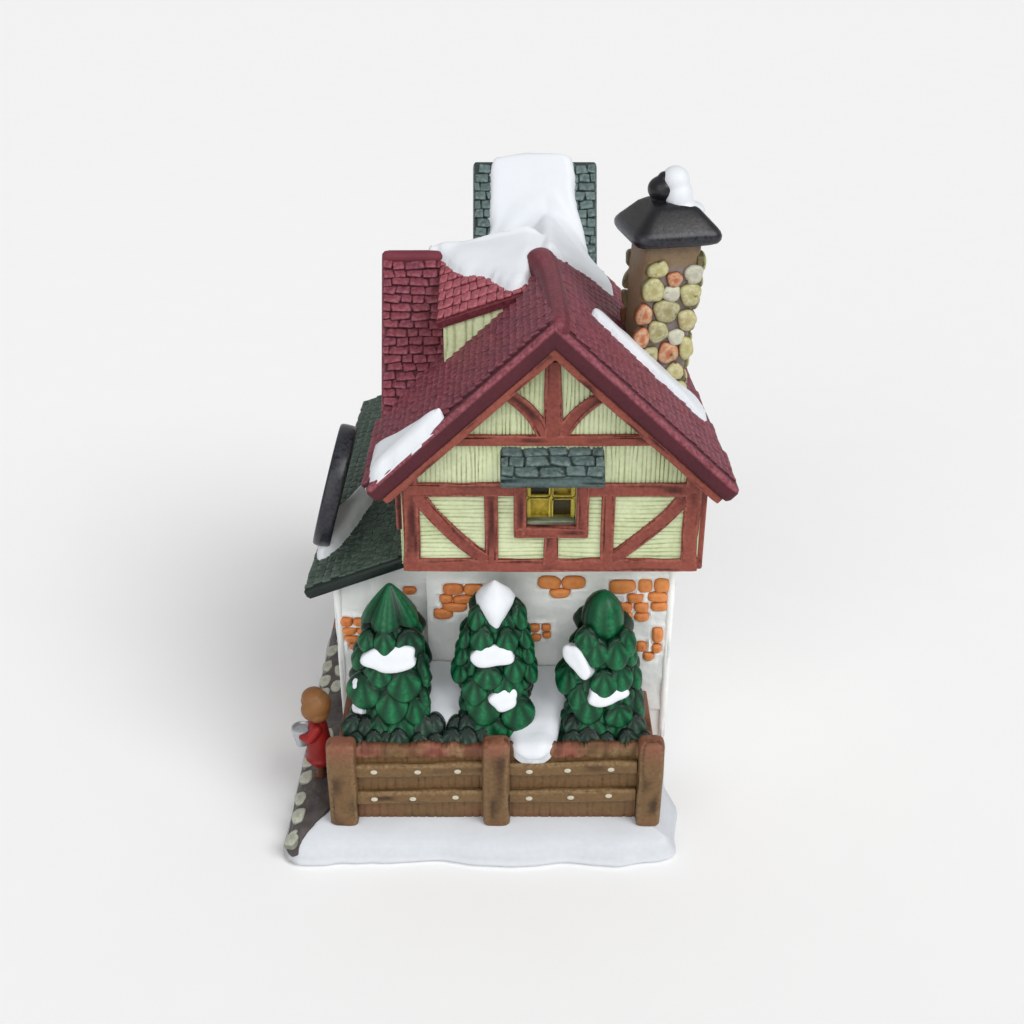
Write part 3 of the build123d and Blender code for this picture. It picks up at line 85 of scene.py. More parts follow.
def circle(count):
    """Angles in equal steps round a circle."""
    return np.arange(count) * 2 * math.pi / count


def boxed(values, power):
    """Sines or cosines bent toward a square."""
    return np.sign(values) * abs(values) ** power


def facing(*out):
    """Side, up and outward directions of a scale that faces a given way."""
    out = unit(out)
    side = unit(np.cross((0, 0, 1), out))
    return side, np.cross(out, side), out


def tinted(count, deep=0.0, edge=0.0, tone=0.0):
    """Painted values of a row of points, each one number for all of them or a number per point."""
    return np.stack([np.broadcast_to(value, count) for value in (deep, edge, tone)], 1).astype(float)


def rounded(outline):
    """Cuts the corners of a closed outline, twice."""
    points = np.array(outline, float)
    for _ in range(2):
        after = np.roll(points, -1, axis=0)
        points = np.stack([0.75 * points + 0.25 * after, 0.25 * points + 0.75 * after], 1).reshape(-1, 2)
    return points


def inside_by(outline, xs, ys):
    """Distance to a closed outline, positive inside it."""
    best = np.full(xs.shape, 1e9)
    odd = np.zeros(xs.shape, bool)
    for (ax, ay), (bx, by) in zip(outline, np.roll(outline, -1, axis=0)):
        dx, dy = bx - ax, by - ay
        share = np.clip(((xs - ax) * dx + (ys - ay) * dy) / (dx * dx + dy * dy + 1e-12), 0, 1)
        best = np.minimum(best, np.hypot(xs - ax - share * dx, ys - ay - share * dy))
        crosses = (ay > ys) != (by > ys)
        odd ^= crosses & (xs < (bx - ax) * (ys - ay) / (by - ay + 1e-12) + ax)
    return np.where(odd, best, -best)


class Panel:
    """A flat place to work on: along, up and out from an origin."""

    def __init__(self, origin, along, up, out):
        self.origin, self.along, self.up = vec(*origin), unit(along), unit(up)
        self.out = unit(out)

    def at(self, u, v, n):
        u, v, n = np.broadcast_arrays(np.asarray(u, float), v, n)
        return self.origin + u[..., None] * self.along + v[..., None] * self.up + n[..., None] * self.out


def near_wall(y):
    return Panel((0, y, 0), (1, 0, 0), (0, 0, 1), (0, -1, 0))


def far_wall(y):
    return Panel((0, y, 0), (1, 0, 0), (0, 0, 1), (0, 1, 0))


def front_wall(x):
    return Panel((x, 0, 0), (0, 1, 0), (0, 0, 1), (-1, 0, 0))


def back_wall(x):
    return Panel((x, 0, 0), (0, 1, 0), (0, 0, 1), (1, 0, 0))


class Build:
    """Points with three painted values each: deep (dark wash and painted shade), edge (dry brush and painted highlight)
    and tone.
    """

    def __init__(self):
        self.points, self.values, self.faces, self.count = [], [], [], 0

    def add(self, points, values, faces):
        points = np.asarray(points, float).reshape(-1, 3)
        self.points.append(points)
        self.values.append(np.asarray(values, float).reshape(-1, 3))
        self.faces.extend(tuple(i + self.count for i in face) for face in faces)
        self.count += len(points)

    def shell(self, top, bottom, values, keep=None):
        """A closed skin between two grids of points; keep says which cells are there."""
        rows, columns = top.shape[:2]
        under = values.copy()
        # painted shade: a shell's underside gets the full dark value and no highlight
        under[..., 0] = 1
        under[..., 1] = 0
        faces = shell_faces(rows, columns, keep)
        self.add(
            np.concatenate([top.reshape(-1, 3), bottom.reshape(-1, 3)]),
            np.concatenate([values.reshape(-1, 3), under.reshape(-1, 3)]),
            faces,
        )

    def loft(self, rings, values):
        """Closed rings of equal counts joined in a row, with flat ends."""
        count = len(rings[0])
        faces = []
        for k in range(len(rings) - 1):
            for i in range(count):
                j = (i + 1) % count
                faces.append((k * count + i, k * count + j, (k + 1) * count + j, (k + 1) * count + i))
        faces.append(tuple(range(count)))
        faces.append(tuple((len(rings) - 1) * count + i for i in range(count)))
        self.add(np.concatenate(rings), np.concatenate(values), faces)


FACE_LISTS = {}


def shell_faces(rows, columns, keep):
    """Faces of a closed skin between two grids, with walls where a cell is left out."""
    if keep is None and (rows, columns) in FACE_LISTS:
        return FACE_LISTS[rows, columns]
    kept = np.ones((rows - 1, columns - 1), bool) if keep is None else keep
    index = np.arange(rows * columns).reshape(rows, columns)
    half = rows * columns
    faces = []
    for r, c in zip(*np.nonzero(kept)):
        a, b = int(index[r, c]), int(index[r, c + 1])
        d, e = int(index[r + 1, c + 1]), int(index[r + 1, c])
        faces.append((a, b, d, e))
        faces.append((e + half, d + half, b + half, a + half))
        sides = (
            (r == 0 or not kept[r - 1, c], a, b),
            (c == columns - 2 or not kept[r, c + 1], b, d),
            (r == rows - 2 or not kept[r + 1, c], d, e),
            (c == 0 or not kept[r, c - 1], e, a),
        )
        faces.extend((q, p, p + half, q + half) for is_open, p, q in sides if is_open)
    if keep is None:
        FACE_LISTS[rows, columns] = faces
    return faces


# Materials: paint that is darker in the recesses and lighter on the edges, as painted shade and painted highlights
def linear(red, green, blue):
    """A screen colour as the linear colour that a shader takes."""
    def channel(value):
        value /= 255
        return value / 12.92 if value <= 0.04045 else ((value + 0.055) / 1.055) ** 2.4

    return (channel(red), channel(green), channel(blue), 1)


class Nodes:
    """A short way to write a material's node tree."""

    def __init__(self, name):
        self.material = bpy.data.materials.new(name)
        self.material.use_nodes = True
        self.tree = self.material.node_tree
        self.shader = self.tree.nodes["Principled BSDF"]
        self.coords = self.tree.nodes.new("ShaderNodeTexCoord").outputs["Object"]

    def put(self, socket, value):
        if isinstance(value, bpy.types.NodeSocket):
            self.tree.links.new(value, socket)
        else:
            socket.default_value = value

    def noise(self, scale, detail=3.0, stretch=(1, 1, 1)):
        place = self.tree.nodes.new("ShaderNodeMapping")
        place.inputs["Scale"].default_value = stretch
        self.put(place.inputs["Vector"], self.coords)
        node = self.tree.nodes.new("ShaderNodeTexNoise")
        self.put(node.inputs["Vector"], place.outputs["Vector"])
        node.inputs["Scale"].default_value = scale
        node.inputs["Detail"].default_value = detail
        return node.outputs["Fac"]

    def value(self, name):
        node = self.tree.nodes.new("ShaderNodeAttribute")
        node.attribute_name = name
        return node.outputs["Fac"]

    def span(self, source, low, high, to_low=0.0, to_high=1.0):
        node = self.tree.nodes.new("ShaderNodeMapRange")
        self.put(node.inputs["Value"], source)
        for label, number in zip(("From Min", "From Max", "To Min", "To Max"), (low, high, to_low, to_high)):
            node.inputs[label].default_value = number
        return node.outputs["Result"]

    def math(self, kind, first, second):
        node = self.tree.nodes.new("ShaderNodeMath")
        node.operation = kind
        self.put(node.inputs[0], first)
        self.put(node.inputs[1], second)
        return node.outputs[0]

    def mix(self, share, first, second):
        node = self.tree.nodes.new("ShaderNodeMix")
        node.data_type = "RGBA"
        self.put(node.inputs[0], share)
        self.put(node.inputs[6], first)
        self.put(node.inputs[7], second)
        return node.outputs[2]

    def ramp(self, source, stops):
        node = self.tree.nodes.new("ShaderNodeValToRGB")
        node.color_ramp.interpolation = "CONSTANT"
        while len(node.color_ramp.elements) < len(stops):
            node.color_ramp.elements.new(0.5)
        for element, (place, color) in zip(node.color_ramp.elements, stops):
            element.position = place
            element.color = color
        self.put(node.inputs["Fac"], source)
        return node.outputs["Color"]

    def bump(self, height, strength):
        node = self.tree.nodes.new("ShaderNodeBump")
        node.inputs["Strength"].default_value = strength
        node.inputs["Distance"].default_value = BUMP_DEPTH
        self.put(node.inputs["Height"], height)
        self.put(self.shader.inputs["Normal"], node.outputs["Normal"])


MATERIALS = {}


def painted(
    name, base, deep, edge, other=None, rough=0.42, coat=0.2, patch=0.3, grain=900.0, bump=0.25, stretch=(1, 1, 1),
    brush_and_highlight=0.75, ramp=None, metal=0.0, pits=0.0, shine=0.22,
):
    """Hand paint on glazed ceramic: base colour, a dark wash that paints shade, dry-brushed edges that paint
    highlights, and a second tone.
    """
    made = Nodes(name)
    broad = made.noise(75.0, 3.0, stretch)
    fine = made.noise(grain, 5.0, stretch)
    first = linear(*base)
    if ramp:
        first = made.ramp(made.value("tone"), [(place, linear(*color)) for place, color in ramp])
    color = made.mix(made.span(broad, 0.35, 0.7, 0.0, patch), first, linear(*deep))
    if other and not ramp:
        color = made.mix(made.value("tone"), color, linear(*other))
    fleck = made.span(fine, 0.3, 0.7)
    # painted shade: the dark wash follows the deep value
    wash_and_shade = made.math("MULTIPLY", made.value("deep"), made.span(fine, 0.2, 0.75, 1.0, 0.7))
    color = made.mix(wash_and_shade, color, linear(*deep))
    if pits:
        color = made.mix(made.span(made.noise(420.0, 2.0), 0.3, 0.37, pits, 0.0), color, linear(*deep))
    # painted highlight: the dry brush follows the edge value
    wear_and_highlight = made.math("MULTIPLY", made.value("edge"), made.math("MULTIPLY", fleck, brush_and_highlight))
    color = made.mix(wear_and_highlight, color, linear(*edge))
    made.put(made.shader.inputs["Base Color"], color)
    made.put(made.shader.inputs["Roughness"], made.span(fine, 0.25, 0.75, rough - 0.1, rough + 0.12))
    made.shader.inputs["Coat Weight"].default_value = coat
    made.shader.inputs["Specular IOR Level"].default_value = shine
    made.shader.inputs["Coat Roughness"].default_value = 0.28
    made.shader.inputs["Metallic"].default_value = metal
    made.bump(made.math("ADD", fine, broad), bump)
    MATERIALS[name] = made.material
    return made


# Each paint: base colour, colour of its wash and painted shade, colour of its dry brush and painted highlights, and
# where given a second tone
painted("snow_glaze", (224, 228, 233), (196, 200, 205), (232, 235, 239), (112, 92, 80), coat=0.06, patch=0.16,
        grain=500, bump=0.16)
painted("walk_grey", (92, 86, 84), (46, 42, 42), (140, 134, 128), rough=0.55, coat=0.05, patch=0.45, bump=0.6)
painted("paver_beige", (190, 190, 174), (104, 102, 94), (220, 220, 206), (160, 164, 148), rough=0.5, coat=0.06,
        bump=0.4)
painted("nail_pale", (190, 184, 164), (140, 132, 110), (210, 206, 190), rough=0.5, coat=0.05, bump=0.2)
painted("stucco", (243, 245, 242), (190, 194, 192), (252, 252, 251), (220, 223, 221), rough=0.5, coat=0.05,
        patch=0.3, grain=650, bump=0.5)
painted("siding", (206, 216, 174), (104, 104, 60), (228, 236, 202), (184, 194, 146), coat=0.06, patch=0.2, bump=0.25)
painted("roof_maroon", (118, 52, 64), (36, 10, 15), (178, 108, 118), (92, 40, 56), rough=0.56, coat=0.03, patch=0.3,
        bump=0.35, brush_and_highlight=0.6)
painted("dormer_maroon", (150, 74, 84), (70, 24, 30), (196, 118, 126), (126, 54, 66), rough=0.4, coat=0.08, bump=0.35)
painted("roof_slate", (66, 86, 84), (14, 20, 22), (146, 164, 160), (84, 102, 100), rough=0.42, coat=0.06, bump=0.35,
        brush_and_highlight=0.6)
painted("wing_slate", (54, 72, 64), (16, 22, 20), (108, 126, 112), (70, 84, 74), rough=0.42, coat=0.06, patch=0.55,
        bump=0.4, brush_and_highlight=0.7)
painted("timber_paint", (134, 66, 54), (52, 18, 15), (188, 118, 102), (116, 52, 46), coat=0.06, bump=0.3, brush_and_highlight=0.6)
painted("window_yellow", (206, 186, 66), (84, 72, 28), (232, 214, 120), coat=0.06, bump=0.2)
painted("brick_paint", (206, 116, 58), (138, 72, 38), (232, 168, 116), (218, 136, 72), coat=0.08, bump=0.3, brush_and_highlight=0.5)
painted("stone_mortar", (138, 126, 124), (78, 66, 62), (170, 160, 152), (140, 116, 84), rough=0.5, coat=0.05,
        bump=0.6, grain=700)
painted("step_navy", (40, 46, 74), (16, 18, 30), (80, 88, 116), coat=0.08, bump=0.3)
painted("stone_mix", (170, 168, 112), (64, 54, 42), (222, 220, 186), coat=0.1, patch=0.3, bump=0.4, pits=0.85,
        ramp=[(0.0, (180, 174, 116)), (0.42, (156, 150, 104)), (0.62, (184, 108, 72)), (0.78, (196, 196, 180)),
              (0.9, (186, 174, 122))])
painted("black_satin", (22, 22, 26), (8, 8, 10), (62, 64, 74), rough=0.34, coat=0.12, bump=0.12, shine=0.35)
painted("plate_grey", (146, 142, 138), (90, 86, 84), (182, 178, 172), rough=0.45, coat=0.05, patch=0.5, bump=0.3)
painted("dial_ivory", (224, 222, 208), (150, 150, 146), (244, 242, 232), coat=0.1, bump=0.15)
painted("fence_paint", (104, 80, 49), (56, 38, 26), (146, 122, 88), (132, 74, 62), rough=0.5, coat=0.04, patch=0.14,
        bump=0.4)
painted("hedge_green", (28, 62, 46), (8, 16, 13), (70, 104, 84), (22, 42, 36), rough=0.4, coat=0.06, bump=0.4)
painted("fir_green", (10, 84, 50), (4, 18, 13), (40, 132, 84), (8, 44, 30), rough=0.36, coat=0.1, patch=0.2,
        bump=0.15, brush_and_highlight=0.7)
painted("door_paint", (38, 62, 44), (18, 30, 22), (76, 100, 80), rough=0.45, coat=0.06, bump=0.35, stretch=(6, 6, 1))
painted("boots_brown", (92, 56, 38), (40, 24, 18), (132, 90, 66), coat=0.06)
painted("coat_red", (146, 34, 32), (66, 14, 16), (190, 90, 82), coat=0.06, patch=0.45)
painted("skin", (214, 166, 136), (150, 92, 72), (232, 196, 170), coat=0.05)
painted("hair_brown", (142, 98, 58), (64, 38, 22), (176, 128, 80), rough=0.44, coat=0.06, bump=0.4)
painted("silver_paint", (190, 194, 198), (110, 114, 118), (226, 228, 230), rough=0.32, metal=0.55)
painted("lamp_plastic", (232, 230, 224), (190, 186, 178), (246, 245, 242), rough=0.35, bump=0.08)
painted("clip_steel", (176, 178, 180), (110, 112, 114), (214, 216, 218), rough=0.3, metal=1.0, bump=0.06,
        stretch=(1, 8, 1))
painted("cap_brass", (196, 172, 112), (130, 108, 62), (226, 206, 154), rough=0.3, metal=1.0, bump=0.06)
# the dark base of the panes is painted shade of the unlit inside; the other colour is their yellow paint
painted("pane_film", (30, 27, 20), (14, 12, 10), (60, 54, 30), (206, 180, 60), rough=0.25, coat=0.1, bump=0.1)
painted("sill_grey", (120, 126, 104), (70, 74, 60), (156, 160, 140), rough=0.45, coat=0.05)
glass = painted("bulb_clear", (244, 246, 246), (232, 236, 236), (255, 255, 255), rough=0.12, coat=0.0, bump=0.02)
glass.shader.inputs["Transmission Weight"].default_value = 0.95
glass.shader.inputs["IOR"].default_value = 1.45


def finished(name, mesh, slot, nodes, body="house", look=None, sharp=42.0):
    """Gives a mesh its paint and its place in the frame."""
    mesh.polygons.foreach_set("use_smooth", [True] * len(mesh.polygons))
    mesh.set_sharp_from_angle(angle=math.radians(sharp))
    mesh.materials.clear()
    mesh.materials.append(MATERIALS[look or slot])
    made = bpy.data.objects.new(name, mesh)
    bpy.context.scene.collection.objects.link(made)
    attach(made, body)
    if nodes:
        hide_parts(*nodes)
    return made


def piece(name, build, slot, *nodes, body="house", look=None, sharp=42.0):
    """One visible piece from collected points; it stands in for the named nodes."""
    mesh = bpy.data.meshes.new(name)
    mesh.from_pydata((np.concatenate(build.points) * METRE).tolist(), [], build.faces)
    values = np.concatenate(build.values).astype(np.float32)
    for index, label in enumerate(PAINT_VALUES):
        mesh.attributes.new(label, "FLOAT", "POINT").data.foreach_set("value", values[:, index].copy())
    work = bmesh.new()
    work.from_mesh(mesh)
    bmesh.ops.delete(work, geom=[v for v in work.verts if not v.link_faces], context="VERTS")
    bmesh.ops.recalc_face_normals(work, faces=work.faces)
    work.to_mesh(mesh)
    work.free()
    return finished(name, mesh, slot, nodes, body, look, sharp)


def blob(name, balls, slot, node, voxel, rounds):
    """Ellipsoids (centre and radii) run together into one smooth skin."""
    work = bmesh.new()
    for center, radii in balls:
        place = Matrix.Translation(Vector(center)) @ Matrix.Diagonal((*radii, 1))
        bmesh.ops.create_icosphere(work, subdivisions=4, radius=1.0, matrix=place)
    rough = bpy.data.meshes.new(name)
    work.to_mesh(rough)
    work.free()
    holder = bpy.data.objects.new(name, rough)
    bpy.context.scene.collection.objects.link(holder)
    remesh = holder.modifiers.new("remesh", "REMESH")
    remesh.mode = "VOXEL"
    remesh.voxel_size = voxel
    soften = holder.modifiers.new("soften", "SMOOTH")
    soften.iterations = rounds
    soften.factor = 0.5
    bpy.context.view_layer.update()
    seen = holder.evaluated_get(bpy.context.evaluated_depsgraph_get())
    mesh = bpy.data.meshes.new_from_object(seen)
    bpy.data.objects.remove(holder)
    bpy.data.meshes.remove(rough)
    points = np.empty(len(mesh.vertices) * 3, np.float32)
    mesh.vertices.foreach_get("co", points)
    mesh.vertices.foreach_set("co", (points.astype(float) * METRE).astype(np.float32))
    mesh.name = name
    mesh.update()
    return finished(name, mesh, slot, [node])


def chain(stops, count):
    """Balls along a line of stops, each a point and a radius."""
    balls = []
    for (start, first), (end, last) in zip(stops, stops[1:]):
        for index in range(count):
            share = index / (count - 1)
            center = [a + share * (b - a) for a, b in zip(start, end)]
            radius = first + share * (last - first)
            balls.append((center, (radius, radius, radius)))
    return balls


# Forms: blocks, domes, shingles, beams, sheets, turned pieces and snow
RIM = np.array([-1, -0.8, 0, 0.8, 1])


def pillow(build, panel, u, v, width, height, depth, tone, sink=0.5, lift=0.0, turn=0.0, wobble=0.05,
           crown=0.1):
    """A block with soft edges that stands out from a panel."""
    across, upward = np.meshgrid(RIM, RIM)
    square = np.maximum(abs(across), abs(upward))
    pull = 1 - 0.09 * (abs(across) * abs(upward)) ** 3
    skew = [draw.uniform(-wobble, wobble) for _ in range(4)]
    us = across * width / 2 * pull * (1 + skew[0] * upward) + skew[1] * width * upward / 2
    vs = upward * height / 2 * pull * (1 + skew[2] * across) + skew[3] * height * across / 2
    if turn:
        angle = math.radians(turn)
        us, vs = us * math.cos(angle) - vs * math.sin(angle), us * math.sin(angle) + vs * math.cos(angle)
    ns = depth * np.interp(square, [0, 0.8, 1], [1 + crown, 1, 0.45]) - lift * upward
    values = np.zeros(across.shape + (3,))
    # painted shade along each block's border, painted highlight on its face, stronger on the lower half
    values[..., 0] = np.interp(square, [0.8, 1], [0, 0.75])
    values[..., 1] = np.interp(square, [0, 0.8, 1], [0.25, 1, 0.1]) * (0.8 + 0.4 * (upward < 0))
    values[..., 2] = tone
    build.shell(panel.at(u + us, v + vs, ns), panel.at(u + us, v + vs, -sink), values)


# Share of the outline and of the bulge, from the sunk foot to the top
DOME = [
    (1.0, -1.0), (1.0, 0.0), (0.985, 0.3), (0.93, 0.56), (0.82, 0.79), (0.64, 0.94), (0.42, 1.0), (0.2, 1.0),
    (0.04, 0.98),
]


def dome(build, center, side, up, out, wide, tall, bulge, tone=0.0, square=2.4, narrow=0.0, flutes=0.0, flute=0.3,
         hub=0.0, lean=0.0, sink=1.0, ripple=0.0, turn=0.0, count=32):
    """A stone, scale or patch that swells out of a surface; a scale is fluted from its hub."""
    center, side, up, out = vec(*center), unit(side), unit(up), unit(out)
    if turn:
        angle = math.radians(turn)
        side, up = side * math.cos(angle) + up * math.sin(angle), up * math.cos(angle) - side * math.sin(angle)
    theta = circle(count)
    sine, cosine = np.sin(theta), np.cos(theta)
    phase = draw.uniform(0, 6.28)
    reach = 1 + ripple * (np.cos(3 * theta + phase) + 0.6 * np.cos(5 * theta + 2 * phase))
    across = wide / 2 * boxed(sine, 2 / square) * (1 - narrow * np.clip(cosine, 0, 1)) * reach
    along = tall / 2 * boxed(cosine, 2 / square) * reach
    middle = hub * tall
    wave = np.ones(count)
    if flutes:
        wave = 0.5 + 0.5 * np.cos(np.arctan2(across, middle - along) * flutes)
    rings, values = [], []
    for share, rise in DOME:
        us, vs = across * share, middle + (along - middle) * share
        ns = bulge * rise + lean * (0.5 - vs / tall) + flute * (wave - 1) * (0.2 < share < 0.99)
        if rise < 0:
            ns = np.full(count, -sink)
        rings.append(center + us[:, None] * side + vs[:, None] * up + ns[:, None] * out)
        # painted shade at the rim, in the flutes and over a scale's top where the one above overlaps it; painted
        # highlight on the face and flute ridges
        deep, edge = 0.85 * (share > 0.98), 0.7 * (0.3 < share < 0.9)
        if flutes:
            top = np.clip((vs / tall - 0.02) / 0.3, 0, 1)
            deep = np.clip(deep + 0.62 * (1 - wave) ** 1.6 * (share > 0.3) + 0.75 * top, 0, 1)
            edge = wave ** 2 * (0.3 < share < 0.97) * (1 - top)
        values.append(tinted(count, deep, edge, tone))
    build.loft(rings, values)


def shingles(build, panel, length, rise, width, height, keep=None, depth=0.8, lift=0.3, spread=0.2, loose=0.5):
    """Courses of uneven shingles up a slope; loose ones sit askew."""
    rows = max(1, round(rise / height))
    step = rise / rows
    for row in range(rows):
        start = -width * (0.5 * (row % 2) + draw.uniform(0, 0.3))
        while start < length:
            wide = width * draw.uniform(1 - spread, 1 + spread)
            low, high = max(start, 0), min(start + wide, length)
            middle, up = (low + high) / 2, (row + 0.5) * step
            tone, thick = draw.random() ** 2, depth * draw.uniform(0.8, 1.2)
            if high - low > 0.3 * width and (keep is None or keep(panel.at(middle, up, 0))):
                up += loose * draw.uniform(-0.3, 0.3)
                pillow(build, panel, middle, up, high - low + 0.05, step * 1.12, thick, tone, lift=lift,
                       turn=loose * draw.uniform(-8, 8), wobble=0.05 + 0.06 * loose)
            start += wide


def bar(build, start, end, out, width, depth, corner=5.0, grain=0.16, lines=7, wander=0.3, tone=0.0, taper=1.0,
        step=1.5, around=30, ends=0.35, bow=0.0, lit=0.0):
    """A beam with soft corners and carved grain; bow bends it sideways, lit paints a highlight along its upper edge."""
    start, end, out = vec(*start), vec(*end), unit(out)
    axis = unit(end - start)
    out = unit(out - axis * out.dot(axis))
    side = np.cross(out, axis)
    length = np.linalg.norm(end - start)
    count = max(5, int(length / step))
    theta = circle(around)
    across, above = boxed(np.cos(theta), 2 / corner), boxed(np.sin(theta), 2 / corner)
    seed = draw.randrange(10000)
    cornered = np.clip((abs(across) * abs(above) - 0.55) / 0.35, 0, 1)
    upper = lit * np.clip((across - 0.45) / 0.4, 0, 1) * (above > 0.1)
    tones = tone if isinstance(tone, list) else [(0, tone), (1, tone)]
    rings, values = [], []
    distances = [0, ends * 0.3] + [length * k / count for k in range(1, count)] + [length - ends * 0.3, length]
    for index, along in enumerate(distances):
        inset = {0: ends, 1: ends * 0.35, len(distances) - 1: ends, len(distances) - 2: ends * 0.35}.get(index, 0)
        share = along / length
        spots = np.stack([theta * lines / 6.28 * 2.0, np.full(around, along / 9.0), np.zeros(around)], 1)
        groove = np.clip(lumpy(spots, 1.0, seed) * 1.6 - 0.25, 0, 1)
        drift = wander * float(lumpy(vec(along / 11.0, 0.5, 0.5), 1.0, seed + 1)) + bow * 4 * share * (1 - share)
        swell = 1 + (taper - 1) * share
        half = (width / 2 * swell - inset) * across - grain * groove * np.sign(across)
        lift = (depth / 2 - inset) * above - grain * groove * np.sign(above)
        center = start + axis * along + side * drift
        rings.append(center + half[:, None] * side + lift[:, None] * out)
        # painted shade in the grain grooves; painted highlight on the corners and, by lit, along the upper edge
        deep = np.clip(groove * 1.1, 0, 1) * (above > -0.6) * (1 - upper)
        edge = np.clip(cornered + 0.35 * (1 - groove) + 1.5 * upper, 0, 1)
        values.append(tinted(around, deep, edge, np.interp(share, *zip(*tones))))
    build.loft(rings, values)


def relief(build, panel, us, vs, height, keep=None, back=-0.4):
    """A sheet of modelled surface on a wall; height gives the rise over the wall."""
    grid_u, grid_v = np.meshgrid(us, vs)
    rise, deep, edge, tone = height(grid_u, grid_v)
    values = np.stack([deep, edge, tone], -1)
    kept = None
    if keep is not None:
        middle_u = (grid_u[:-1, :-1] + grid_u[1:, 1:]) / 2
        middle_v = (grid_v[:-1, :-1] + grid_v[1:, 1:]) / 2
        kept = keep(middle_u, middle_v)
    build.shell(panel.at(grid_u, grid_v, rise), panel.at(grid_u, grid_v, np.full(rise.shape, back)), values, kept)


def lathe(build, center, axis, profile, sides=48, wash_and_shade=None):
    """A turned form: profile is (height, radius) pairs along an axis; the wash paints shade on each ring."""
    axis = unit(axis)
    helper = vec(1, 0, 0) if abs(axis[0]) < 0.8 else vec(0, 1, 0)
    first = unit(np.cross(axis, helper))
    second = np.cross(axis, first)
    theta = circle(sides)
    spokes = np.cos(theta)[:, None] * first + np.sin(theta)[:, None] * second
    rings, values = [], []
    for index, (height, radius) in enumerate(profile):
        rings.append(vec(*center) + axis * height + radius * spokes)
        values.append(tinted(sides, wash_and_shade[index] if wash_and_shade else 0.0))
    build.loft(rings, values)


def softened(field, rounds):
    """A grid of heights after some rounds of averaging with its neighbours."""
    for _ in range(rounds):
        padded = np.pad(field, 1, mode="edge")
        field = (padded[:-2, 1:-1] + padded[2:, 1:-1] + padded[1:-1, :-2] + padded[1:-1, 2:] + field) / 5
    return field


def snow_layer(name, outline, base, thick, nodes, step=0.6, edge=3.2, sink=1.0, fill=2, ragged=0.5):
    """Snow over a surface inside an outline seen from above; fill evens out the hollows under it."""
    border = rounded(outline)
    margin = 2.0
    xs = np.arange(border[:, 0].min() - margin, border[:, 0].max() + margin, step)
    ys = np.arange(border[:, 1].min() - margin, border[:, 1].max() + margin, step)
    grid_x, grid_y = np.meshgrid(xs, ys)
    ground = base(grid_x, grid_y)
    spots = flat(grid_x, grid_y)
    reach = inside_by(border, grid_x, grid_y) + ragged * lumpy(spots, 3.0, 3)
    slope_y, slope_x = np.gradient(ground, step)
    steep = np.minimum(np.sqrt(1 + softened(slope_x, 3) ** 2 + softened(slope_y, 3) ** 2), 2.2)
    bank = np.clip(reach / edge, 0, 1)
    rise = thick * (1 + 0.22 * lumpy(spots, 9.0, 4)) * np.sqrt(1 - (1 - bank) ** 2)
    filled = np.maximum(softened(ground, fill), ground) - ground
    top = ground + filled * bank + rise * steep + np.minimum(reach, 0) * 1.2
    top = np.where(reach > 1.2, softened(top, 3), top)
    low = np.minimum(ground - sink, top - 0.3)
    kept = np.maximum.reduce([reach[:-1, :-1], reach[1:, :-1], reach[:-1, 1:], reach[1:, 1:]]) > -0.9
    values = np.zeros(grid_x.shape + (3,))
    made = Build()
    made.shell(np.stack([grid_x, grid_y, top], -1), np.stack([grid_x, grid_y, low], -1), values, kept)
    return piece(name, made, "snow_glaze", *nodes, sharp=60.0)


# The house's own sizes, the same as in the solids
MAIN_X, MAIN_RIDGE, MAIN_HALF, MAIN_THICK = 15.0, 175.5, 55.8, 6.0
MAIN_PITCH, STEEP, WING_PITCH = math.radians(43.2), math.radians(60.0), math.radians(20.8)
FRONT_Y, FRONT_RIDGE, FRONT_HALF = 6.0, 172.5, 29.5
TOWER_Y, TOWER_RIDGE, TOWER_HALF = 42.5, 192.5, 28.0
VERGE_Y, FAR_VERGE_Y = -70.0, 32.5
FRONT_VERGE_X = -39.5
TOWER_LEFT, TOWER_RIGHT = -10.3, 32.3
WALL_LEFT, WALL_RIGHT, WALL_NEAR, WALL_FAR = -30.5, 60.5, -60.0, 30.0
LOW_LEFT, LOW_RIGHT, LOW_NEAR = -24.5, 54.5, -50.0
WING_FRONT, WING_NEAR, WING_FAR = -54.0, -46.5, 68.0
WING_EAVE, WING_SWEEP = (-64.0, -51.5, 79.0), (7, 124, 11)
TOWER_WALL_LEFT, TOWER_WALL_RIGHT, TOWER_WALL_FAR = -7.0, 29.0, 66.5
JETTY, BED = 91.0, 36.0
EAVE_DRAW = 9.0
DORMER_LEFT, DORMER_RIGHT, DORMER_NEAR, DORMER_FAR, DORMER_LOW = -20.8, 8.0, -25.4, 6.6, 158.8
DORMER_TILT, DORMER_PITCH = math.tan(math.radians(18.7)), math.tan(math.radians(19.3))
SHOULDER_X, SHOULDER_FALL = 16.0, 0.4
EASE_FROM, EASE = 172.0, 0.65
LAMP_Y, LAMP_Z = -10.0, 40.0
NOWHERE = -1e3

# Openings: centre, width and height on their wall
SIDE_WINDOW = (MAIN_X, 115.2, 15.0, 16.0)
WING_WINDOW = (-24.0, 46.0, 15.0, 16.0)
GABLE_WINDOW = (FRONT_Y, 131.0, 11.0, 13.0)
TOWER_WINDOW = (50.0, 126.0, 10.0, 14.0)
BACK_WINDOW = (LAMP_Y, 106.0, 15.0, 16.0)
DOORWAY = (34.0, 29.0, 16.0, 42.0)


def eave_half(y):
    """How far the right slope of the main roof reaches out."""
    return MAIN_HALF - EAVE_DRAW * np.clip((y + 60.0) / 94.0, 0, 1)


def main_top(x):
    return MAIN_RIDGE - abs(x - MAIN_X) * math.tan(MAIN_PITCH)


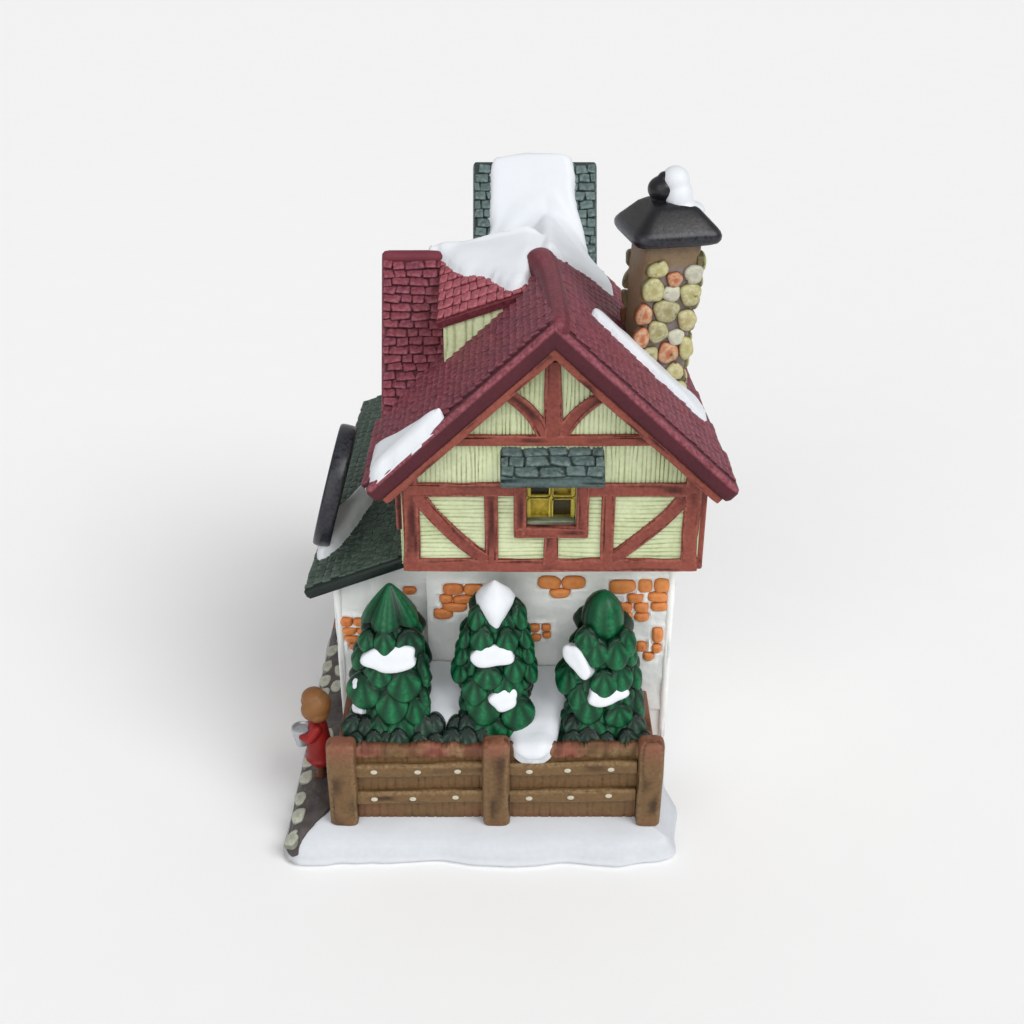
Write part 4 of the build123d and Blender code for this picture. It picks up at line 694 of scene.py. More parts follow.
def main_under(x, drop=MAIN_THICK):
    return MAIN_RIDGE - drop / math.cos(MAIN_PITCH) - abs(x - MAIN_X) * math.tan(MAIN_PITCH)


def front_top(x, y):
    return np.where(x < MAIN_X, FRONT_RIDGE - abs(y - FRONT_Y) * math.tan(STEEP), NOWHERE)


def tower_top(x, y):
    there = (x > TOWER_LEFT) & (x < TOWER_RIGHT)
    return np.where(there, TOWER_RIDGE - abs(y - TOWER_Y) * math.tan(STEEP), NOWHERE)


def eased(z):
    """Heights on the dormer, which flattens toward the ridge."""
    return np.minimum(z, EASE_FROM + EASE * (z - EASE_FROM))


def dormer_top(x, y):
    """The dormer's slope and its shoulder toward the ridge."""
    there = (x > DORMER_LEFT) & (x < SHOULDER_X) & (y > DORMER_NEAR) & (y < DORMER_FAR)
    along = (np.minimum(x, DORMER_RIGHT) - DORMER_LEFT) * DORMER_TILT
    plane = DORMER_LOW + along + (y - DORMER_NEAR) * DORMER_PITCH
    return np.where(there, eased(plane) - SHOULDER_FALL * np.maximum(x - DORMER_RIGHT, 0), NOWHERE)


def roof_top(x, y):
    tops = [np.where(y < FAR_VERGE_Y, main_top(x), 100.0), front_top(x, y), tower_top(x, y), dormer_top(x, y)]
    return np.maximum.reduce(tops) + 0.5


def wing_top(x, y):
    along = (y - WING_EAVE[1]) / WING_SWEEP[1]
    up_slope = x - WING_EAVE[0] - WING_SWEEP[0] * along
    return WING_EAVE[2] + WING_SWEEP[2] * along + up_slope * math.tan(WING_PITCH) + 0.6


# Roofs: a slab with soft edges under courses of shingles
def gable_rings(ridge, pitch, thick, spans, runs):
    """Sections of a slab along its ridge: runs are (place, inset), spans gives both half widths."""
    rings = []
    for place, cut in runs:
        section = []
        for sign, half in zip((1, -1), spans(place)):
            line = []
            for reach, drop in ((0, 0), (half - 1.6, 0), (half - 0.5, 0.5), (half, 1.6), (half, thick - 1.6),
                                (half - 0.5, thick - 0.5), (half - 1.6, thick), (0, thick)):
                reach = max(reach - cut, 0) if reach else 0
                drop = min(max(drop, cut), thick - cut)
                out = drop * math.sin(pitch) if reach else 0
                fall = drop * math.cos(pitch) if reach else drop / math.cos(pitch)
                line.append((sign * (reach - out), ridge - reach * math.tan(pitch) - fall))
            section += line if sign == 1 else line[::-1][1:-1]
        rings.append(section)
    return rings


UPPER_CORNERS = [0, 1, 2, 12, 13]


def slab(build, ridge, pitch, thick, spans, runs, place):
    """The slab itself, darker below; place turns a section's point into a place."""
    rings, values = [], []
    for (along, cut), section in zip(runs, gable_rings(ridge, pitch, thick, spans, runs)):
        rings.append(np.array([place(u, along, z) for u, z in section]))
        shade = tinted(len(section), 0.72)
        # painted highlight on the upper corners where the slab rounds over at its ends
        if 0.1 < cut < 1.4:
            shade[UPPER_CORNERS, 0] = 0.1
            shade[UPPER_CORNERS, 1] = 0.9
        values.append(shade)
    build.loft(rings, values)


def ends(start, stop, soft=1.9, steps=6):
    """Places along a slab that round over at both ends, each with its inset."""
    turned = [(soft * (1 - math.cos(a)), soft * (1 - math.sin(a))) for a in np.linspace(0, math.pi / 2, 5)]
    runs = [(start + along, cut) for along, cut in turned]
    runs += [(start + (stop - start) * k / steps, 0) for k in range(1, steps)]
    return runs + [(stop - along, cut) for along, cut in reversed(turned)]


main = Build()
slab(main, MAIN_RIDGE, MAIN_PITCH, MAIN_THICK, lambda y: (eave_half(y), MAIN_HALF), ends(VERGE_Y, FAR_VERGE_Y),
     lambda u, along, z: (MAIN_X + u, along, z))
main_rise = MAIN_HALF / math.cos(MAIN_PITCH)
main_eave = MAIN_RIDGE - MAIN_HALF * math.tan(MAIN_PITCH)
main_long = 98.0
level, climb = math.cos(MAIN_PITCH), math.sin(MAIN_PITCH)
left_slope, right_slope = (
    Panel((MAIN_X + sign * MAIN_HALF, VERGE_Y + 3.6, main_eave), (0, 1, 0), (-sign * level, 0, climb),
          (sign * climb, 0, level))
    for sign in (-1, 1)
)
shingles(main, left_slope, main_long, main_rise, 4.2, 2.75,
         lambda p: front_top(p[0], p[1]) < p[2] + 1.5, depth=0.8, lift=0.4)
shingles(main, right_slope, main_long, main_rise, 4.6, 2.75,
         lambda p: p[0] < MAIN_X + eave_half(p[1]) - 2.0, depth=0.4, lift=0.15)
# Ridge roll: places along the ridge, across it, and radius
ROLL = [
    (-69.8, 16.3, 1.0), (-69.1, 16.3, 2.3), (-67.4, 16.3, 3.0), (-58.0, 16.1, 3.3), (-40.0, 15.5, 3.5),
    (-26.0, 14.8, 3.8), (-18.0, 14.0, 4.3), (-13.0, 12.8, 5.0), (-10.0, 12.2, 5.2), (-7.8, 12.2, 4.9),
    (-6.4, 12.4, 4.2), (-5.4, 12.6, 3.0), (-4.8, 12.8, 1.2),
]
ROLL_SIDES, ROLL_LEVEL = 28, 173.0
theta = circle(ROLL_SIDES)
rings = [
    np.stack([x + r * np.cos(theta), np.full(ROLL_SIDES, y), ROLL_LEVEL + r * np.sin(theta)], 1) for y, x, r in ROLL
]
# painted highlight along the top of the roll
main.loft(rings, [tinted(ROLL_SIDES, 0.25, 0.5 * (np.sin(theta) > 0.8))] * len(ROLL))
piece("main_roof_shingles", main, "roof_maroon", "main_roof")


def cross_slab(build, ridge_y, ridge, half, thick, runs):
    """The slab of a steep roof whose ridge runs along X."""
    slab(build, ridge, STEEP, thick, lambda x: (half, half), runs, lambda u, along, z: (along, ridge_y + u, z))


def cross_slopes(left, ridge_y, ridge, half):
    """The near and far slopes of a steep roof whose ridge runs along X."""
    eave = ridge - half * math.tan(STEEP)
    return [
        Panel((left, ridge_y + sign * half, eave), (1, 0, 0), (0, -sign * math.cos(STEEP), math.sin(STEEP)),
              (0, sign * math.sin(STEEP), math.cos(STEEP)))
        for sign in (-1, 1)
    ]


front = Build()
cross_slab(front, FRONT_Y, FRONT_RIDGE, FRONT_HALF, 5.0, ends(FRONT_VERGE_X, MAIN_X, 1.4))
front_rise = FRONT_HALF / math.cos(STEEP)
for slope in cross_slopes(FRONT_VERGE_X + 0.5, FRONT_Y, FRONT_RIDGE, FRONT_HALF):
    shingles(front, slope, 53.0, front_rise - 3.2, 5.2, 2.75, lambda p: main_top(p[0]) < p[2] + 2.0, depth=0.8,
             lift=0.55, spread=0.32, loose=1.1)
lathe(front, (0, FRONT_Y, FRONT_RIDGE - 2.0), (1, 0, 0),
      [(-39.3, 1.0), (-38.6, 1.7), (-37, 2.1), (0, 2.2), (14, 2.2)], 20)
piece("front_gable_shingles", front, "roof_maroon", "front_gable_roof")

tower = Build()
cross_slab(tower, TOWER_Y, TOWER_RIDGE, TOWER_HALF, 4.0, ends(TOWER_LEFT, TOWER_RIGHT, 1.1))
tower_rise = TOWER_HALF / math.cos(STEEP)
for slope in cross_slopes(TOWER_LEFT + 0.6, TOWER_Y, TOWER_RIDGE, TOWER_HALF):
    shingles(tower, slope, 41.4, tower_rise - 1.0, 4.7, 3.1,
             lambda p: slope.out[1] > 0 or p[1] > WALL_FAR or p[2] > main_top(p[0]) - 2, depth=0.9, lift=0.4,
             loose=0.9)
piece("tower_shingles", tower, "roof_slate", "tower_roof")

# The wing's lean-to roof follows its skewed eave
wing = Build()
wing_up = unit((math.cos(WING_PITCH), 0, math.sin(WING_PITCH)))
wing_along = unit(WING_SWEEP)
wing_out = unit(np.cross(wing_up, wing_along))
wing_slope = Panel(WING_EAVE, wing_along, wing_up, wing_out)
wing_long = math.hypot(*WING_SWEEP)


def wing_slab(build, width, low, high):
    """The wing's slab from one place along its eave to another."""
    rings, values = [], []
    for along, cut in ends(low, high, 1.2, 8):
        section = [(0.8 + cut, -cut), (cut, -0.9), (cut, -2.6), (0.8 + cut, -4.0 + cut), (width, -4.0 + cut),
                   (width, -cut)]
        rings.append(np.array([wing_slope.at(along, v, n) for v, n in section]))
        values.append(tinted(len(section), 0.85))
    build.loft(rings, values)


wing_slab(wing, 35.6, -2.2, 83.0)
wing_slab(wing, 54.0, 82.5, wing_long)
shingles(wing, Panel(wing_slope.at(-1.2, 0.8, -0.1), wing_along, wing_up, wing_out), wing_long, 53.0, 3.6, 2.9,
         lambda p: p[0] < -31.0 or (p[1] > 31.0 and p[0] < -8.0), depth=0.5, lift=0.12)
piece("wing_roof_shingles", wing, "roof_slate", "wing_roof", look="wing_slate")

# Dormer roof: a thick slab that climbs toward the ridge
dormer = Build()
dormer_along = unit((1, 0, DORMER_TILT))
dormer_up = unit((0, 1, DORMER_PITCH))
dormer_out = unit(np.cross(dormer_along, dormer_up))
dormer_panel = Panel((DORMER_LEFT, DORMER_NEAR, DORMER_LOW), dormer_along, dormer_up, dormer_out)
rows = []
for cut, along in ((0.9, 0.0), (0.2, 0.5), (0.0, 1.4), (0.0, 8.0), (0.0, 15.0), (0.0, 22.0), (0.0, 30.2)):
    section = [(cut, -cut), (cut, -2.4 + cut), (33.2, -2.4 + cut), (33.2, -cut), (22.0, -cut), (14.0, -cut),
               (7.0, -cut)]
    rows.append(np.array([dormer_panel.at(along, v + 0.2, n) for v, n in section]))
    rows[-1][:, 2] = eased(rows[-1][:, 2])
dormer.loft(rows, [tinted(len(section), 0.85, 0.1)] * len(rows))
shingles(dormer, Panel(dormer_panel.at(0.8, 1.6, 0), dormer_along, dormer_up, dormer_out), 29.2, 31.0, 2.9, 4.3,
         lambda p: max(front_top(p[0], p[1]), main_top(p[0])) - 1.5 < p[2] < 171.0, depth=0.45, lift=0.2, loose=0.8)
piece("dormer_shingles", dormer, "roof_maroon", "dormer_roof", look="dormer_maroon")

# Barge boards under the verge, then every timber of the half-timbering
barge = Build()
BARGE_Y, BARGE_DROP = -67.0, 7.1
for sign in (-1, 1):
    head = (MAIN_X - sign * 1.0, BARGE_Y, main_under(MAIN_X, BARGE_DROP) + 0.9)
    foot_x = MAIN_X + sign * 49.5
    bar(barge, (foot_x, BARGE_Y, main_under(foot_x, BARGE_DROP)), head, (0, -1, 0), 2.6, 3.4, corner=4, grain=0.14,
        lines=5, wander=0.15, around=44)
piece("barge_timbers", barge, "timber_paint", "barge_boards")

POST, BEAM, STUD = 5.0, 4.6, 4.2
UPPER, COLLAR = 119.5, 136.0
SILL = JETTY + BEAM / 2
WALL_WIDE = WALL_RIGHT - WALL_LEFT
INNER = (WALL_LEFT + 0.30 * WALL_WIDE, WALL_LEFT + 0.69 * WALL_WIDE)
EAVE_WALL = main_under(WALL_LEFT)
collar_half = (main_under(MAIN_X) - COLLAR) / math.tan(MAIN_PITCH) - 1.0


def timbers(name, node, panel, rows):
    """Rows are width, both ends and, for bent or flared timbers, bow and taper."""
    made = Build()
    depth, sunk = 1.9, 0.35
    for width, u0, v0, u1, v1, *bend in rows:
        bow, taper = bend or (0.0, 1.0)
        bar(made, panel.at(u0, v0, depth / 2 - sunk), panel.at(u1, v1, depth / 2 - sunk), panel.out, width,
            depth + 0.7 + draw.uniform(-0.12, 0.12), grain=0.36, lines=10, tone=draw.uniform(0, 0.6), bow=bow,
            taper=taper, around=60)
    return piece(name, made, "timber_paint", node)


near_rows = [
    (POST + 0.2, WALL_LEFT + POST / 2, JETTY + 0.4, WALL_LEFT + POST / 2, EAVE_WALL, -0.5, 1.0),
    (POST + 0.2, WALL_RIGHT - POST / 2, JETTY + 0.4, WALL_RIGHT - POST / 2, EAVE_WALL, 0.5, 1.0),
    (6.4, MAIN_X, COLLAR, MAIN_X, main_under(MAIN_X) - 6.5, 0.0, 0.7),
    (BEAM, WALL_LEFT, SILL, WALL_RIGHT, SILL),
    (BEAM, WALL_LEFT + 1, UPPER, MAIN_X - 9.8, UPPER),
    (BEAM, MAIN_X + 9.8, UPPER, WALL_RIGHT - 1, UPPER),
    (3.6, MAIN_X - collar_half, COLLAR, MAIN_X + collar_half, COLLAR),
    (STUD, INNER[0], SILL, INNER[0], UPPER),
    (STUD, INNER[1], SILL, INNER[1], UPPER),
    (STUD + 0.3, WALL_LEFT + 4.5, UPPER - 1.5, INNER[0] - 1.5, SILL + 2, -1.3, 1.0),
    (STUD + 0.3, WALL_RIGHT - 4.5, UPPER - 1.5, INNER[1] + 1.5, SILL + 2, 1.3, 1.0),
    (4.6, MAIN_X - 2.2, COLLAR + 1, MAIN_X - 12.4, COLLAR + 14.0, -1.3, 0.9),
    (4.6, MAIN_X + 2.6, COLLAR + 1, MAIN_X + 13.2, COLLAR + 13.4, 1.3, 0.9),
    (5.2, MAIN_X, SILL, MAIN_X, 104.0, 0.0, 0.8),
]
timbers("gable_timbers", "timber_frame", near_wall(WALL_NEAR), near_rows)

front_half_wall = (162.5 - EAVE_WALL) / math.tan(STEEP)
front_rows = [
    (POST, -57.5, 105.0, -57.5, EAVE_WALL), (POST, 27.5, 108.0, 27.5, EAVE_WALL),
    (BEAM, -59.5, UPPER, 29.5, UPPER),
    (STUD, FRONT_Y - front_half_wall, 106.0, FRONT_Y - front_half_wall, UPPER),
    (STUD, FRONT_Y - front_half_wall, UPPER - 1, -56.0, 106.0),
    (STUD, FRONT_Y - 11.0, UPPER, FRONT_Y - 11.0, 141.0), (STUD, FRONT_Y + 11.0, UPPER, FRONT_Y + 11.0, 141.0),
    (STUD, FRONT_Y, 143.0, FRONT_Y, 156.0), (STUD, FRONT_Y - 9.5, 143.6, FRONT_Y + 9.5, 143.6),
]
timbers("front_timbers", "timber_frame_front", front_wall(WALL_LEFT), front_rows)
back_rows = [
    (POST, -57.5, JETTY + 0.4, -57.5, 122.0), (POST, 27.5, JETTY + 0.4, 27.5, 122.0),
    (BEAM, -60.0, SILL, 30.0, SILL), (BEAM, -59.0, UPPER, 29.0, UPPER),
    (STUD, -25.0, SILL, -25.0, UPPER), (STUD, 5.0, SILL, 5.0, UPPER),
]
timbers("back_timbers", "timber_frame_back", back_wall(WALL_RIGHT), back_rows)


# Windows: mitred surrounds, barred sashes and painted panes
def window_frame(build, panel, u, v, wide, tall):
    depth, width, sunk = 2.5, 4.0, 0.35
    half_u, half_v = wide / 2 + width / 2, tall / 2 + width / 2
    reach = width / 2 - 0.15
    for a, b, c, d in ((-1, -1, -1, 1), (1, -1, 1, 1), (-1, -1, 1, -1), (-1, 1, 1, 1)):
        along = vec(c - a, d - b) / 2
        bar(build, panel.at(u + a * half_u - along[0] * reach, v + b * half_v - along[1] * reach, depth / 2 - sunk),
            panel.at(u + c * half_u + along[0] * reach, v + d * half_v + along[1] * reach, depth / 2 - sunk),
            panel.out, width - 0.1, depth + 0.6 + draw.uniform(-0.1, 0.1), tone=draw.uniform(0, 0.5), wander=0.12,
            grain=0.28, lines=10, around=60)


def window_sash(build, panel, u, v, wide, tall):
    depth, width = 1.6, 1.5
    level = -3.5 + depth / 2
    side, top = wide / 2, tall / 2
    lines = [
        (-side + 0.75, -top + 0.1, -side + 0.75, top - 0.1), (side - 0.75, -top + 0.1, side - 0.75, top - 0.1),
        (-side + 0.1, top - 0.75, side - 0.1, top - 0.75), (-side + 0.1, -top + 0.75, side - 0.1, -top + 0.75),
        (0, -top + 0.5, 0, top - 0.5), (-side + 0.5, 0, side - 0.5, 0),
    ]
    for u0, v0, u1, v1 in lines:
        bar(build, panel.at(u + u0, v + v0, level), panel.at(u + u1, v + v1, level), panel.out, width, depth,
            grain=0.05, wander=0.1, step=1.0, around=16)


# Name, nodes of the surrounds and sashes, tones of the four panes, and the windows themselves; a low tone leaves a pane
# dark as painted shade of the unlit inside
WINDOWS = [
    ("side", "side_window_surround", "side_window_sash", (0.95, 0.05, 0.0, 0.7),
     [(near_wall(WALL_NEAR), *SIDE_WINDOW)]),
    ("front", "front_window_surrounds", "front_window_sashes", (0.9, 0.7, 0.8, 0.95),
     [(front_wall(WING_FRONT), *WING_WINDOW), (front_wall(WALL_LEFT), *GABLE_WINDOW),
      (front_wall(TOWER_WALL_LEFT), *TOWER_WINDOW)]),
    ("back", "back_window_surrounds", "back_window_sashes", (0.85, 0.95, 0.7, 0.8),
     [(back_wall(WALL_RIGHT), *BACK_WINDOW), (back_wall(TOWER_WALL_RIGHT), *TOWER_WINDOW)]),
]
panes = Build()
for name, frame_node, sash_node, tones, rows in WINDOWS:
    frames, sashes = Build(), Build()
    for row in rows:
        window_frame(frames, *row)
        window_sash(sashes, *row)
        panel, u, v, wide, tall = row
        for index, tone in enumerate(tones):
            mid_u = u + wide / 4 * (-1 if index % 2 == 0 else 1)
            mid_v = v + tall / 4 * (-1 if index < 2 else 1)
            pillow(panes, panel, mid_u, mid_v, wide / 2 - 0.1, tall / 2 - 0.1, -3.55, tone, sink=4.0, crown=0.0,
                   wobble=0.0)
    piece(name + "_window_frames", frames, "timber_paint", frame_node)
    piece(name + "_window_bars", sashes, "window_yellow", sash_node)
piece("window_cells", panes, "pane_film", "window_panes")
sill = Build()
bar(sill, (MAIN_X - 7.3, -59.2, 107.9), (MAIN_X + 7.3, -59.2, 107.9), (0, -1, 0), 1.5, 3.2, grain=0.05, wander=0.1)
piece("side_window_sill", sill, "window_yellow", look="sill_grey")

# Awning over the side window: a slab, a rolled edge and three courses of slates
awning = Build()
awning_up = unit((0, 10.0, 7.0))
awning_out = unit((0, -7.0, 10.0))
awning_panel = Panel((MAIN_X - 15.65, -70.0, 126.4), (1, 0, 0), awning_up, awning_out)
for half, y, z, width, depth, corner, grain in ((15.4, -64.6, 128.7, 12.4, 2.4, 4, 0.1),
                                                (15.2, -69.2, 125.9, 2.6, 2.6, 2.4, 0.08)):
    bar(awning, (MAIN_X - half, y, z), (MAIN_X + half, y, z), awning_out, width, depth, corner=corner, grain=grain,
        wander=0.1, step=2.5)
shingles(awning, Panel(awning_panel.at(0.5, 2.0, -0.5), (1, 0, 0), awning_up, awning_out), 30.4, 10.2, 6.0, 3.3,
         depth=1.1, lift=0.4, spread=0.3, loose=0.9)
piece("awning_slates", awning, "roof_slate", "window_awning")


# Siding between the timbers: level grooves below, upright grooves above
def grooves(pitch, level):
    """A surface with uneven grooves, level or upright."""
    def height(us, vs):
        run, other = (vs, us) if level else (us, vs)
        wave = run / pitch + 0.35 * lumpy(flat(other / 14.0, run / 2.2), 1.0, 4 if level else 9)
        trough = np.abs((wave % 1.0) - 0.5) * 2
        cut = np.clip((trough - 0.62) / 0.38, 0, 1) * (0.65 + 0.35 * lumpy(flat(us, vs), 4.0, 5))
        tone = np.clip(0.4 + 0.6 * lumpy(flat(us, vs), 7.0, 6), 0, 1)
        # painted shade in the grooves, painted highlight on the boards between them
        return 0.62 - 0.5 * cut, np.clip(cut, 0, 1) * 0.85, (1 - cut) * 0.5, tone

    return height


LEVEL_BOARDS, UPRIGHT_BOARDS, DORMER_BOARDS = grooves(1.5, True), grooves(1.35, False), grooves(3.0, False)


def shaded_boards(us, vs):
    """Upright grooves with a painted shadow under the verge."""
    rise, deep, edge, tone = UPRIGHT_BOARDS(us, vs)
    patchy = 0.7 + 0.5 * lumpy(flat(us, vs), 5.0, 61)
    # painted shadow of the verge, patchy, fading down the wall
    wash_and_shade = np.clip(1 - (main_under(us) - vs - 2.0) / 9.0, 0, 1) * patchy
    return rise, np.clip(deep + 0.5 * wash_and_shade, 0, 1), edge * (1 - np.clip(wash_and_shade, 0, 1)), tone


def clear_of(holes, rounds=()):
    """Keeps a sheet out of rectangular and round openings."""
    def keep(us, vs):
        kept = np.ones(us.shape, bool)
        for u, v, wide, tall in holes:
            kept &= ~((abs(us - u) < wide / 2 + 1.4) & (abs(vs - v) < tall / 2 + 1.4))
        for u, v, radius in rounds:
            kept &= np.hypot(us - u, vs - v) > radius
        return kept

    return keep


def below_roof(us, vs):
    """A gable wall up into the main roof."""
    return vs < main_under(us) + 0.8


def near_gable(us, vs):
    """The near gable's wall, clear of its window."""
    return clear_of([SIDE_WINDOW])(us, vs) & below_roof(us, vs)


def front_gable(us, vs):
    """The front gable's wall up into its roof, clear of its window."""
    under = (vs < 162.0 - abs(us - FRONT_Y) * math.tan(STEEP)) & (us < 29.6)
    return clear_of([GABLE_WINDOW])(us, vs) & under


BOARD_FOOT, BOARD_TURN = 92.5, 119.0
FINE_GROOVE, MEDIUM_GROOVE, BROAD_GROOVE = 0.24, 0.3, 0.35
SIDE_WALL = (-59.0, 29.6, 2.0)
# Wall, steps across and up, surface and what is kept of it
SIDING = [
    (near_wall(WALL_NEAR), (WALL_LEFT + 1, WALL_RIGHT - 0.5, 2.0), (BOARD_FOOT, BOARD_TURN, FINE_GROOVE),
     LEVEL_BOARDS, clear_of([SIDE_WINDOW])),
    (near_wall(WALL_NEAR), (WALL_LEFT + 0.5, WALL_RIGHT - 0.4, FINE_GROOVE), (BOARD_TURN, 166.0, 1.0),
     shaded_boards, near_gable),
    (front_wall(WALL_LEFT), SIDE_WALL, (BOARD_FOOT, BOARD_TURN, MEDIUM_GROOVE), LEVEL_BOARDS, None),
    (front_wall(WALL_LEFT), (-20.0, 32.0, MEDIUM_GROOVE), (BOARD_TURN, 161.0, 2.0), UPRIGHT_BOARDS, front_gable),
    (back_wall(WALL_RIGHT), SIDE_WALL, (BOARD_FOOT, 123.0, MEDIUM_GROOVE), LEVEL_BOARDS, clear_of([BACK_WINDOW])),
    (far_wall(WALL_FAR), (WALL_LEFT + 0.6, -7.4, BROAD_GROOVE), (BOARD_FOOT, 166.0, 2.0), UPRIGHT_BOARDS,
     below_roof),
    (far_wall(WALL_FAR), (29.4, WALL_RIGHT - 0.6, BROAD_GROOVE), (BOARD_FOOT, 166.0, 2.0), UPRIGHT_BOARDS,
     below_roof),
]
siding = Build()
for panel, across, upward, surface, keep in SIDING:
    relief(siding, panel, np.arange(*across), np.arange(*upward), surface, keep)
piece("wall_siding", siding, "siding")
dormer_face = Build()
relief(dormer_face, near_wall(-23.0), np.arange(-18.2, 8.0, 0.5), np.arange(143.0, 170.0, 0.5), DORMER_BOARDS,
       lambda u, v: (v < 156.9 + (u - DORMER_LEFT) * DORMER_TILT) & (v > main_top(u) - 0.4))
piece("dormer_siding", dormer_face, "siding")

# Bricks that show through the stucco: centre, width and height on the wall
NEAR_BRICKS = [
    (-15.9, 78.0, 6.6, 4.3), (-9.2, 77.8, 6.7, 4.0), (-18.3, 74.4, 4.3, 3.1), (-12.7, 74.2, 6.7, 2.8),
    (-15.5, 71.2, 8.2, 3.4), (-9.3, 71.0, 2.9, 3.2), (-19.4, 68.6, 6.4, 4.0), (15.1, 80.4, 7.5, 4.7),
    (22.9, 80.4, 7.7, 4.7), (18.6, 76.5, 6.8, 3.4), (38.7, 78.9, 8.7, 5.0), (46.0, 79.3, 4.7, 5.2),
    (51.4, 79.3, 5.0, 5.2), (43.0, 74.6, 5.2, 3.4), (50.3, 75.0, 6.7, 3.6), (39.6, 71.0, 5.4, 3.7),
    (45.2, 71.0, 4.8, 3.7), (51.0, 71.4, 5.6, 3.3), (40.7, 67.5, 3.4, 3.2), (45.4, 67.4, 4.8, 3.4),
    (51.0, 60.2, 3.6, 6.0), (45.8, 55.7, 3.7, 3.8), (50.9, 55.0, 3.2, 3.4), (48.4, 51.8, 3.6, 3.2),
    (10.5, 63.0, 3.5, 2.8), (14.3, 63.2, 3.1, 2.4), (11.1, 59.4, 3.3, 2.7), (14.6, 60.3, 2.8, 2.2),
]
WING_BRICKS = [
    (-51.6, 63.2, 4.2, 3.6), (-47.4, 63.0, 4.0, 2.9), (-50.8, 59.6, 5.0, 2.8), (-46.6, 59.5, 3.3, 2.4),
    (-50.2, 56.5, 4.9, 2.6), (-49.2, 53.6, 4.1, 2.4), (-30.3, 75.4, 4.3, 2.7),
]
FRONT_BRICKS = [
    (-40.0, 63.5, 6.6, 3.2), (-33.2, 63.6, 6.2, 3.2), (-37.0, 60.0, 6.4, 3.0), (-43.6, 60.1, 5.4, 3.0),
    (8.0, 71.0, 6.6, 3.2), (14.8, 71.2, 6.2, 3.2), (4.8, 67.5, 6.2, 3.1), (11.4, 67.6, 6.6, 3.1),
    (2.0, 30.0, 6.4, 3.1), (8.6, 30.2, 6.0, 3.1), (5.4, 26.6, 6.4, 3.1),
]
BACK_BRICKS = [
    (-42.0, 81.0, 6.6, 3.2), (-35.2, 81.0, 6.4, 3.2), (-45.4, 77.6, 6.2, 3.1), (-38.8, 77.5, 6.6, 3.1),
    (9.0, 33.0, 6.4, 3.2), (15.6, 33.2, 6.4, 3.2), (12.4, 29.6, 6.4, 3.1), (18.8, 29.8, 5.6, 3.1),
    (16.0, 79.0, 6.4, 3.2), (22.4, 79.0, 5.8, 3.2), (19.2, 75.5, 6.2, 3.1),
]
TOWER_BRICKS = [
    (14.0, 118.0, 6.6, 3.2), (20.8, 118.2, 6.2, 3.2), (10.6, 114.5, 6.4, 3.1), (17.4, 114.6, 6.6, 3.1),
    (23.8, 114.8, 5.4, 3.0), (14.2, 111.1, 6.2, 3.1), (-0.6, 44.0, 6.4, 3.2), (6.0, 44.2, 6.2, 3.2),
    (2.8, 40.6, 6.6, 3.1), (9.4, 40.7, 5.8, 3.1), (-0.4, 37.2, 6.0, 3.1),
]
FAR_BRICKS = [
    (-44.0, 66.0, 6.6, 3.2), (-37.2, 66.2, 6.2, 3.2), (-47.2, 62.6, 6.0, 3.1), (-40.6, 62.6, 6.6, 3.1),
    (-34.0, 62.8, 5.8, 3.0), (-43.6, 59.2, 6.2, 3.1), (-22.0, 28.0, 6.4, 3.2), (-15.4, 28.2, 6.0, 3.2),
    (-18.8, 24.6, 6.4, 3.1),
]
bricks = Build()
far_draw = random.Random(7)
for panel, rows, chance in (
    (far_wall(TOWER_WALL_FAR), TOWER_BRICKS, far_draw), (far_wall(WING_FAR), FAR_BRICKS, far_draw),
    (near_wall(LOW_NEAR), NEAR_BRICKS, draw), (near_wall(WING_NEAR), WING_BRICKS, draw),
    (front_wall(WING_FRONT), FRONT_BRICKS, draw), (back_wall(LOW_RIGHT), BACK_BRICKS, draw),
):
    for u, v, wide, tall in rows:
        dome(bricks, panel.at(u, v, 0), panel.along, panel.up, panel.out, wide + 0.2, tall + 0.2, 1.9,
             chance.random(), square=2.9, sink=0.5, ripple=0.03, turn=chance.uniform(-5, 5))
piece("stucco_bricks", bricks, "brick_paint", "wall_bricks")


# Stucco: trowelled lumps that lip around the bricks
def trowelled(rows, seed):
    """An uneven coat that thins out over the bricks in rows."""
    def height(us, vs):
        spots = flat(us, vs)
        rise = 0.55 + 0.3 * lumpy(spots, 9.0, seed) + 0.2 * lumpy(spots, 3.6, seed + 1)
        rise = rise + 0.12 * lumpy(spots, 1.8, seed + 2)
        grey = np.clip(0.5 + 0.9 * lumpy(spots, 13.0, seed + 3), 0, 1)
        for u, v, wide, tall in rows:
            off = np.maximum(abs(us - u) - wide / 2, abs(vs - v) - tall / 2)
            rise = np.where(off < 0.1, np.minimum(rise, 0.2), rise)
            rise = rise + 0.3 * np.exp(-((off - 0.8) / 0.6) ** 2)
            grey = np.where(off < 2.0, grey * 0.3, grey)
        # painted shade in the low spots of the coat, painted highlight on its high spots
        dip = np.clip((0.35 - rise) * 1.6, 0, 0.6)
        return rise, dip, np.clip((rise - 0.7) * 1.5, 0, 1), grey

    return height


def tower_gable(us, vs):
    """The tower's gable wall up into its roof, clear of its window."""
    return clear_of([TOWER_WINDOW])(us, vs) & (vs < 187.0 - abs(us - TOWER_Y) * math.tan(STEEP))


FINE, COARSE = 0.8, 1.5
FOOT, IN_BED, LOW_TOP, HIGH_TOP, GABLE_TOP = 9.4, 30.0, 91.2, 146.0, 186.0
